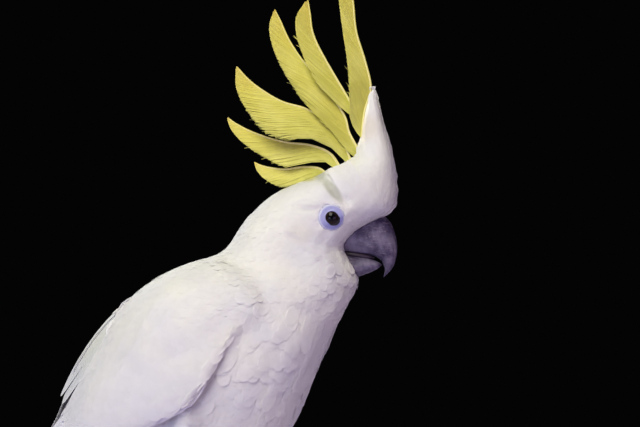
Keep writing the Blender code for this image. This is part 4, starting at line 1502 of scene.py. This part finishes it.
# %% The yellow finish
def crest_yellow():
    """Clear yellow, with fine streaks along the barbs."""
    finish = Finish("crest_yellow", Roughness=0.55, Subsurface_Weight=0.2, Subsurface_Scale=0.003,
                    Sheen_Weight=0.1, Specular_IOR_Level=0.3)
    finish.shader.inputs["Subsurface Radius"].default_value = (1.0, 0.9, 0.3)
    patchy = finish.noise(55.0, 3.0)
    colour = finish.node("ShaderNodeValToRGB", {"stops": [
        (0.0, (0.62, 0.60, 0.12)), (0.12, (0.60, 0.575, 0.09)), (0.6, (0.70, 0.65, 0.105)),
        (0.9, (0.74, 0.64, 0.10)), (1.0, (0.68, 0.52, 0.08))]}, {0: finish.mark("share")})
    colour = finish.blend(finish.step(patchy, 0.4, 0.7) * 0.45, colour, (0.83, 0.79, 0.19))
    colour = finish.shaded(colour, 0.90 + finish.mark("tone") * 0.14, 0.96)
    ridge = (finish.vane()[0] * 120.0).sine()
    return finish.show(Base_Color=colour, Normal=finish.bump(ridge, 0.2, 0.04),
                       Roughness=0.5 + patchy * 0.15)


def stem_straw():
    """The pale stem of a crest feather, with fine streaks along it."""
    finish = Finish("crest_stem", Roughness=0.4, Specular_IOR_Level=0.4)
    streak = finish.noise(400.0, 3.0, Distortion=0.5)
    return finish.show(Base_Color=finish.blend(streak, (0.72, 0.66, 0.20), (0.82, 0.77, 0.36)),
                       Roughness=0.35 + streak * 0.15, Normal=finish.bump(streak, 0.2, 0.05))


yellow = crest_yellow()
straw = stem_straw()
print("crest finishes ready")

# %% [markdown]
# The stem of a crest feather is a tapering rod.  Rings of points are set across its line and
# bridged, and the first and the last are closed.

# %% The stems, and the six feathers
ROD_SIDES = 8
STEM_RADIUS = 0.95
STEM_TAPER = 0.75


def rod(shape, places, radii):
    """Adds a closed tapering tube through some places to a bmesh."""
    rings = []
    for i, (place, radius) in enumerate(zip(places, radii)):
        run = Vector(places[min(i + 1, len(places) - 1)] - places[max(i - 1, 0)])
        turn = run.to_track_quat("Z", "Y").to_matrix().to_4x4()
        turn.translation = Vector(place)
        ring = bmesh.ops.create_circle(shape, segments=ROD_SIDES, radius=radius, matrix=turn,
                                       cap_ends=i in (0, len(places) - 1))
        rings.append(ring["verts"])
    for low, high in zip(rings, rings[1:]):
        loops = [edge for ring in (low, high) for vert in ring for edge in vert.link_edges
                 if edge.other_vert(vert) in ring]
        bmesh.ops.bridge_loops(shape, edges=list(set(loops)))


for number, (rows, lean) in CREST.items():
    *quills, widths, lengths, roots = web_barbs(rows, lean, np.random.default_rng(90 + number))
    web = feathered("crest_web_" + str(number), BARB, quills, widths, lengths, yellow,
                    100 + number, {"share": roots})
    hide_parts("crest_" + str(number))
    shares = np.linspace(0.0, 0.99, 30)
    places, _, rear, _ = quill_line(rows, lean, shares)
    stem = bmesh.new()
    rod(stem, places, (STEM_RADIUS - STEM_TAPER * shares) * MM)
    bmesh.ops.recalc_face_normals(stem, faces=stem.faces[:])
    stem_piece = as_piece("crest_quill_" + str(number), stem, straw)
    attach(stem_piece, "root")
print("crest feathers:", len(CREST))

# %% [markdown]
# ## The bill
#
# The bill is horn over bone, and grows all through the bird's life, so it is never smooth: fine
# growth lines run round it, thin flakes lift near its cutting edge, and the bird's own rubbing
# leaves pale scratches.  Its form is already right, but faceted.  We melt a welded copy into a
# fine net, smooth it, and then press the growth lines and flakes in along the normals.

# %% The horn's finish
# turn, stretch and scale of each set of scratches
SCRATCHES = ((0.6, 7.0, 150.0), (-0.5, 9.0, 210.0), (1.35, 8.0, 120.0))


def horn(name, dark, pale, worn_light):
    """Grey horn with a powdery bloom, growth lines and scratches."""
    finish = Finish(name, Roughness=0.45, Specular_IOR_Level=0.4)
    place = finish.place()
    bloom = finish.noise(95.0, 6.0, place, Roughness=0.62)
    colour = finish.blend(finish.step(bloom, 0.36, 0.62), dark, pale)
    x, _, z = finish.split(place)
    scratch = 0.0
    for turn, reach, scale in SCRATCHES:
        along = finish.node("ShaderNodeMapping", None,
                            {"Vector": place, "Rotation": (0.0, turn, 0.0),
                             "Scale": (1.0, 1.0, reach)})
        streaks = finish.noise(scale, 4.0, along, Distortion=0.8)
        scratch = finish.step(streaks, 0.60, 0.68) + scratch
    worn = finish.step(finish.noise(60.0, 3.0, place), 0.42, 0.6)
    scratch = scratch * (0.15 + 0.85 * worn)
    colour = finish.blend(finish.step(scratch, 0.0, 1.6) * 0.6, colour, worn_light)
    lines = (x * 2100.0 + z * 700.0 + bloom * 9.0).sine()
    colour = finish.blend(finish.step(lines, 0.2, 1.0) * 0.14, colour, dark)
    height = lines * 0.25 + finish.noise(420.0, 4.0) - scratch * 0.8
    return finish.show(Base_Color=colour, Roughness=0.42 + bloom * 0.25,
                       Normal=finish.bump(height, 0.5, 0.18))


bill_horn = horn("bill_horn", (0.034, 0.023, 0.060), (0.140, 0.120, 0.175), (0.38, 0.30, 0.36))
claw_horn = horn("claw_horn", (0.030, 0.028, 0.032), (0.09, 0.085, 0.09), (0.22, 0.20, 0.20))
print("horn finishes: 2, each with", len(SCRATCHES), "sets of scratches")

# %% [markdown]
# The same tool makes the bill and the claws.  Two slow waves along the normals stand for the
# growth lines and the flakes, so that even the outline of the horn isn't quite even.

# %% Smooth horn from the forms
def horn_piece(name, nodes, size, rounds, growth, material):
    """A smoothed copy of some forms with shallow growth lines pressed in."""
    net = netted(welded({node: 0.0 for node in nodes}), size)
    soften(net, net.verts, rounds)
    net.normal_update()
    for vert in net.verts:
        x, y, z = vert.co / MM
        wave = math.sin(1.9 * x + 0.7 * z + 0.9 * math.sin(0.5 * y + 0.3 * z))
        flake = math.sin(0.83 * x - 0.57 * z) * math.sin(0.71 * y + 0.49 * z + 1.3)
        vert.co += vert.normal * growth * (0.3 * wave + 0.7 * flake) * MM
    net.normal_update()
    piece = as_piece(name, net, material)
    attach(piece, "root")
    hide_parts(*nodes)
    print(name, len(piece.data.polygons), "squares")
    return piece


horn_piece("bill_upper_horn", ["bill_upper"], 0.4, 8, 0.07, bill_horn)
horn_piece("bill_lower_horn", ["bill_lower"], 0.4, 6, 0.06, bill_horn)
claws = [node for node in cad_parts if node.startswith("claw_")]
horn_piece("claw_horn", claws, 0.28, 3, 0.02, claw_horn)


# %% [markdown]
# Between the two halves of the bill shows a narrow dark slit, the mouth, almost filled by the
# bird's thick dark tongue.

# %% The tongue
def tongue_finish():
    """Dark, wet, speckled skin."""
    finish = Finish("tongue_skin", Roughness=0.4, Specular_IOR_Level=0.4)
    speckle = finish.noise(700.0, 3.0)
    colour = finish.blend(speckle, (0.018, 0.012, 0.020), (0.05, 0.034, 0.05))
    return finish.show(Base_Color=colour, Roughness=0.35 + speckle * 0.2,
                       Normal=finish.bump(speckle, 0.4, 0.1))


TONGUE_MIDDLE = Vector((149.0, 0.0, 207.9)) * MM
TONGUE_HALF = (12.0, 5.4, 2.4)
TONGUE_GROOVE = 2.6
TONGUE_SLOPE = math.radians(9.0)
tongue = bmesh.new()
bmesh.ops.create_uvsphere(tongue, u_segments=40, v_segments=24, radius=MM)
bmesh.ops.scale(tongue, verts=tongue.verts, vec=TONGUE_HALF)
for vert in tongue.verts:
    hollow = max(0.0, 1.0 - (vert.co.y / (TONGUE_GROOVE * MM)) ** 2) * (vert.co.z > 0.0)
    vert.co.z -= 0.5 * hollow * MM
bmesh.ops.rotate(tongue, verts=tongue.verts, cent=(0, 0, 0),
                 matrix=Matrix.Rotation(TONGUE_SLOPE, 3, "Y"))
bmesh.ops.translate(tongue, verts=tongue.verts, vec=TONGUE_MIDDLE)
tongue_piece = as_piece("tongue", tongue, tongue_finish())
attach(tongue_piece, "root")
print("tongue:", len(tongue_piece.data.polygons), "faces")

# %% [markdown]
# ## The eyes
#
# The eye is nearly black, a wet ball under a clear, bulging cornea.  Round it lies a ring of
# bare skin, a soft periwinkle blue, drawn into fine folds that run round the eye and are
# crossed by finer ones, with a pale lid edge that stands up a little against the ball.  The
# ring's section is drawn once and spun round the eye's axis, and then laid on the head.

# %% The ball of the eye
EYE_BALL = 7.0
EYE_CENTRE = {side: Vector((132.3, 21.0 * sign, 232.7)) * MM for side, sign in SIDES.items()}
IRIS = 4.1
PUPIL = 2.6
CORNEA = 5.0
CORNEA_BULGE = 0.55


def eye_finish(side):
    """A dark brown iris and a black pupil under a clear, wet coat."""
    finish = Finish("eye_" + side + "_finish", Roughness=0.08, Coat_Weight=0.08,
                    Coat_Roughness=0.02, Specular_IOR_Level=0.12)
    x, _, z = finish.split(finish.place())
    off_x = x / MM - EYE_CENTRE[side].x / MM
    off_z = z / MM - EYE_CENTRE[side].z / MM
    ring = (off_x * off_x + off_z * off_z) ** 0.5
    strands = finish.noise(900.0, 3.0)
    iris = finish.blend(strands, (0.006, 0.004, 0.004), (0.020, 0.012, 0.010))
    colour = finish.blend(finish.step(ring, PUPIL - 0.3, PUPIL + 0.3), (0.002, 0.002, 0.003), iris)
    colour = finish.blend(finish.step(ring, IRIS - 0.2, IRIS + 0.7), colour, (0.03, 0.026, 0.03))
    return finish.show(Base_Color=colour, Roughness=0.06 + finish.step(ring, IRIS, 6.0) * 0.2)


for side, sign in SIDES.items():
    ball = bmesh.new()
    bmesh.ops.create_uvsphere(ball, u_segments=64, v_segments=40, radius=EYE_BALL * MM)
    bmesh.ops.rotate(ball, verts=ball.verts, cent=(0, 0, 0),
                     matrix=Matrix.Rotation(math.radians(90.0), 3, "X"))
    for vert in ball.verts:
        off = math.hypot(vert.co.x, vert.co.z) / MM
        if vert.co.y * sign > 0.0:
            vert.co.y += sign * CORNEA_BULGE * max(0.0, 1.0 - (off / CORNEA) ** 2) ** 2 * MM
    bmesh.ops.translate(ball, verts=ball.verts, vec=EYE_CENTRE[side])
    eye = as_piece("eye_ball_" + side, ball, eye_finish(side))
    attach(eye, "root")
    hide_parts("eye_" + side)
    print(eye.name, len(eye.data.polygons), "faces")

# %% [markdown]
# The blue of the ring is no flat colour either.  It is deeper below the eye, paler towards the
# feathers and dark on the edge of the lid.  Bands like these follow the distance from the middle
# of the eye, which the mesh will carry as a number, so they need no map.

# %% The finish of the bare ring
def ring_finish():
    """Pale blue bare skin, deeper below the eye, with a pale rim and a dark lid edge."""
    finish = Finish("eye_ring_skin", Roughness=0.5, Subsurface_Weight=0.25,
                    Subsurface_Scale=0.0012, Specular_IOR_Level=0.4)
    finish.shader.inputs["Subsurface Radius"].default_value = (0.8, 0.6, 1.0)
    off = finish.mark("ring")
    speckle = finish.noise(600.0, 4.0)
    blue = finish.blend(speckle, (0.28, 0.29, 0.50), (0.40, 0.41, 0.62))
    x, _, z = finish.split(finish.place())
    low = finish.step(z * 1000.0 - x * 400.0, 181.0, 175.0)
    colour = finish.blend(low * 0.55, blue, (0.13, 0.14, 0.36))
    colour = finish.blend(finish.step(off, 6.8, 8.2) * 0.7, colour, (0.56, 0.58, 0.64))
    colour = finish.blend(finish.step(off, 4.9, 4.3) * 0.5, colour, (0.22, 0.23, 0.40))
    colour = finish.blend(finish.step(off, 4.15, 4.0), colour, (0.02, 0.018, 0.03))
    return finish.show(Base_Color=colour, Roughness=0.42 + speckle * 0.15,
                       Normal=finish.bump(finish.noise(1500.0, 3.0), 0.25, 0.1))


ring_skin = ring_finish()
print("finish of the bare ring ready")

# %% [markdown]
# The ring has to meet the head all round, and the head isn't flat there.  So the height of the
# skin is measured at many places round the rim, and each part of the ring is raised towards
# the height at its own side, most at the rim and hardly at the lid.

# %% The bare ring and the lids
# distance from the middle of the eye and height, across the ring from its rim to its lid
RING_SECTION = [(9.0, -0.6), (8.3, 0.30), (7.5, 0.70), (6.7, 0.72), (6.0, 0.76), (5.4, 0.75),
                (4.9, 0.88), (4.5, 1.10), (4.2, 1.15), (4.0, 0.92), (3.9, 0.35), (4.1, -0.8),
                (4.8, -1.8)]
RING_RIM = RING_SECTION[0][0]
RING_STEPS = 120
RING_LIFT = 0.75
# the part of the ring that is drawn into folds
FOLDED = (5.0, 8.4)
RING_RAY = 30.0


def rim_heights(centre, sign):
    """How far out the skin lies at places round the rim of an eye's ring, in millimetres."""
    heights = []
    for step in range(RING_STEPS):
        turn = math.tau * step / RING_STEPS
        start = centre + Vector((math.cos(turn) * RING_RIM, RING_RAY * sign,
                                 math.sin(turn) * RING_RIM)) * MM
        spot, _, _, _ = skin_tree.ray_cast(start, Vector((0.0, -sign, 0.0)))
        heights.append((spot.y if spot else centre.y) * sign / MM)
    return heights


def spun_ring():
    """The ring's section spun round an upright axis, still flat, in millimetres."""
    ring = bmesh.new()
    section = [ring.verts.new((radius, 0.0, height)) for radius, height in RING_SECTION]
    lines = [ring.edges.new(pair) for pair in zip(section, section[1:])]
    bmesh.ops.spin(ring, geom=section + lines, cent=(0, 0, 0), axis=(0, 0, 1), steps=RING_STEPS,
                   angle=math.tau, use_merge=True)
    bmesh.ops.remove_doubles(ring, verts=ring.verts, dist=0.0001)
    bmesh.ops.subdivide_edges(ring, edges=ring.edges[:], cuts=1, use_grid_fill=True)
    return ring


def laid_ring(centre, sign, rim):
    """A ring drawn into folds and laid on the head, its rim at the heights of the skin."""
    ring = spun_ring()
    middle = sum(rim) / RING_STEPS + RING_LIFT
    spans = ring.verts.layers.float.new("ring")
    for vert in ring.verts:
        radius = math.hypot(vert.co.x, vert.co.y)
        turn = math.atan2(vert.co.y, vert.co.x) % math.tau
        vert[spans] = radius
        spot = turn / math.tau * RING_STEPS
        low = int(spot) % RING_STEPS
        edge = rim[low] + (rim[(low + 1) % RING_STEPS] - rim[low]) * (spot - int(spot))
        base = middle + (edge - middle) * (radius / RING_RIM) ** 2
        fold = 0.07 * math.sin(radius * 7.0 + 1.2 * math.sin(3.0 * turn))
        fold += 0.04 * math.sin(turn * 41.0 + 2.0 * math.sin(radius * 2.0))
        height = vert.co.z + fold * (FOLDED[0] < radius < FOLDED[1])
        vert.co = (centre.x + math.cos(turn) * radius * MM, sign * (base + height) * MM,
                   centre.z + math.sin(turn) * radius * MM)
    bmesh.ops.recalc_face_normals(ring, faces=ring.faces[:])
    return ring


for side, sign in SIDES.items():
    centre, _ = touch(EYES[side] + Vector((0.0, 4.0 * sign, 0.0)) * MM)
    centre = Vector((EYES[side].x, centre.y, EYES[side].z))
    rim = rim_heights(centre, sign)
    lids = as_piece("eye_ring_" + side, laid_ring(centre, sign, rim), ring_skin)
    if sign * sum(face.normal.y for face in lids.data.polygons) < 0.0:
        lids.data.flip_normals()
    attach(lids, "root")
    print(lids.name, len(lids.data.polygons), "faces, rim", round(min(rim), 1), "to",
          round(max(rim), 1))

# %% [markdown]
# ## The feet
#
# A cockatoo's foot has two toes forward and two back, in dark grey skin with a powdery bloom.
# The skin between is beaded with tiny scales, which its finish shows, but along the top of each
# toe and down the front of the shank the scales are broad plates that overlap like tiles.
# Those catch the light, so they are made: one plate, laid along every toe in the way that the
# feathers were laid along their quills.  The table of toes holds each one's direction in
# degrees, its length and the width of its plates.

# %% The plate and its finish
SCUTE = vane_pattern((0.86, 0.96, 1.0, 1.0, 0.92, 0.7), rows=3, columns=6, thick=0.3, quill=0.1,
                     tip=0.12, taper=0.4, crowd=1.4)
SCUTE_GAP = 2.6
SCUTE_LENGTH = 3.9
SCUTE_STEPS = 3
SCUTE_FLOOR = 3.4
SCUTE_REACH = 9.0
SCUTE_RAY = 14.0
SCUTE_RISE = 0.45
SCUTE_ROOT = 0.12
SCUTE_FALL = 0.24
# how high a toe's axis is, how far from the hub its plates start and how far short of its end
# the last one starts, in millimetres
TOE_HEIGHT = 4.0
TOE_START = 3.0
TOE_END = 4.0
SHANK_PLATE = 6.4
TOES = [(11.0, 41.0, 6.0), (-21.0, 31.0, 5.6), (155.0, 36.0, 5.6), (-152.0, 20.0, 5.2)]
FOOT_HUB = (50.0, 28.0, 7.0)
ANKLE_TOP = (42.5, 28.4, 33.0)


def scute_finish():
    """Dark grey plates with paler, dusty ends."""
    finish = Finish("foot_plates", Roughness=0.55, Specular_IOR_Level=0.35)
    dust = finish.noise(500.0, 4.0)
    colour = finish.blend(finish.step(dust, 0.4, 0.7), (0.040, 0.040, 0.046),
                          (0.085, 0.083, 0.092))
    along = finish.vane()[1]
    colour = finish.blend(finish.step(along, 0.27, 0.39) * 0.5, colour, (0.19, 0.18, 0.19))
    return finish.show(Base_Color=finish.shaded(colour, 0.85 + finish.mark("tone") * 0.3),
                       Roughness=0.5 + dust * 0.25, Normal=finish.bump(dust, 0.4, 0.08))


foot_plates = scute_finish()
print("toes of a foot:", len(TOES))

# %% [markdown]
# Each row of plates follows a straight axis.  From outside, a ray is sent to the axis at every
# step, and where it meets the skin lies the plate.  Where it meets nothing, or too near the
# floor, the plate is left out.

# %% Plates along the toes and down the shank
def scute_row(start, run, away, reaches, width):
    """Plate lines along an axis, on the side of the skin that faces away from it."""
    rows = []
    for reach in reaches:
        line = [], [], []
        for share in np.linspace(0.0, 1.0, SCUTE_STEPS + 1):
            axis = start + run * (reach + SCUTE_LENGTH * share) * MM
            spot, out, _, _ = skin_tree.ray_cast(axis + away * SCUTE_RAY * MM, -away)
            if (spot is None or spot.z < SCUTE_FLOOR * MM
                    or (spot - axis).length > SCUTE_REACH * MM):
                break
            out = (out + away * 1.5).normalized()
            side = run.cross(out).normalized()
            line[0].append(spot + out * (SCUTE_RISE * share - SCUTE_ROOT) * MM)
            line[1].append(side.cross(run).normalized())
            line[2].append(side)
        if len(line[0]) == SCUTE_STEPS + 1:
            rows.append((*line, np.full(SCUTE_STEPS + 1, SCUTE_FALL * width), width))
    return rows


for side, sign in SIDES.items():
    hub = Vector((FOOT_HUB[0], FOOT_HUB[1] * sign, FOOT_HUB[2])) * MM
    ankle = Vector((ANKLE_TOP[0], ANKLE_TOP[1] * sign, ANKLE_TOP[2])) * MM
    plates = []
    for degrees, length, width in TOES:
        turn = math.radians(degrees)
        way = Vector((math.cos(turn), sign * math.sin(turn), 0.0))
        start = Vector((hub.x, hub.y, TOE_HEIGHT * MM))
        plates += scute_row(start, way, Vector((0.0, 0.0, 1.0)),
                            np.arange(TOE_START, length - TOE_END, SCUTE_GAP), width)
    shank = (hub - ankle).normalized()
    front = Vector((1.0, 0.0, 0.0)) - shank * shank.x
    plates += scute_row(ankle, shank, front.normalized(),
                        np.arange(0.0, (hub - ankle).length / MM - TOE_END, SCUTE_GAP),
                        SHANK_PLATE)
    *quills, widths = as_columns(plates)
    feathered("foot_plates_" + side, SCUTE, quills, widths, np.full(len(plates), SCUTE_LENGTH),
              foot_plates, 120)

# %% [markdown]
# ## Floor, light and camera
#
# The bird stands on a plain pale floor.  A white bird shows its shape best in a dim room, where
# the edges of the feathers are lighter than what lies behind them.  The colours are shown with
# the plain Standard transform, because the default one turns white plumage grey.

# %% Floor and room
FLOOR_RADIUS = 0.62
floor_shape = bmesh.new()
bmesh.ops.create_circle(floor_shape, cap_ends=True, segments=96, radius=FLOOR_RADIUS)
floor_finish = Finish("pale_floor", Roughness=0.75)
speck = floor_finish.noise(60.0, 5.0)
floor_finish.show(Base_Color=floor_finish.blend(speck, (0.56, 0.49, 0.68), (0.62, 0.55, 0.74)),
                  Roughness=0.68 + speck * 0.14)
floor_piece = as_piece("floor", floor_shape, floor_finish.material)

bpy.context.scene.view_settings.view_transform = "Standard"
world = bpy.data.worlds.new("studio")
bpy.context.scene.world = world
world.use_nodes = True
background = world.node_tree.nodes["Background"]
background.inputs["Color"].default_value = (0.0012, 0.0012, 0.0014, 1.0)
background.inputs["Strength"].default_value = 1.0
print("floor radius:", FLOOR_RADIUS)

# %% [markdown]
# Four soft lights stand round the bird.  The large key light, slightly warm, comes from above
# and in front.  Two weak violet ones fill the shadows from low down on either side, and one
# behind draws an edge of light along the back.

# %% Soft lights
def soft_light(name, place, aim, size, power, colour):
    """A square soft light that faces a place."""
    light = bpy.data.lights.new(name, "AREA")
    light.size = size
    light.energy = power
    light.color = colour
    lamp = bpy.data.objects.new(name, light)
    lamp.location = place
    lamp.rotation_euler = (Vector(aim) - Vector(place)).to_track_quat("-Z", "Y").to_euler()
    bpy.context.scene.collection.objects.link(lamp)


MIDDLE = (0.06, 0.0, 0.2)
soft_light("key", (-0.30, -1.05, 1.50), MIDDLE, 1.1, 35.5, (1.0, 0.965, 0.84))
soft_light("fill", (0.9, -0.9, 0.10), MIDDLE, 0.7, 3.6, (0.76, 0.52, 1.0))
soft_light("low fill", (-0.6, -1.0, 0.05), (0.02, 0.0, 0.08), 0.5, 5.0, (0.60, 0.60, 1.0))
soft_light("back", (-0.5, 1.3, 0.9), MIDDLE, 0.9, 12.0, (0.92, 0.95, 1.0))
print("lights:", len(bpy.data.lights))

# %% [markdown]
# The camera looks straight across at the height of the head, from far enough away that the
# near wing isn't drawn out of proportion.  Its lens is worked out from the width of the view.

# %% The camera
VIEW_CENTRE = Vector((124.7, 0.0, 235.3)) * MM
VIEW_WIDTH = 422.4 * MM
DISTANCE = 1.5
lens = bpy.data.cameras.new("camera")
lens.sensor_width = 36.0
lens.lens = lens.sensor_width * DISTANCE / VIEW_WIDTH
camera = bpy.data.objects.new("camera", lens)
camera.location = VIEW_CENTRE - Vector((0.0, DISTANCE, 0.0))
camera.rotation_euler = (math.pi / 2.0, 0.0, 0.0)
bpy.context.scene.collection.objects.link(camera)
bpy.context.scene.camera = camera
print("lens:", round(lens.lens, 1), "mm")

# %% [markdown]
# ## The size, and the end
#
# The plumage may stand a little out of the body forms, but no more than real feathers would.
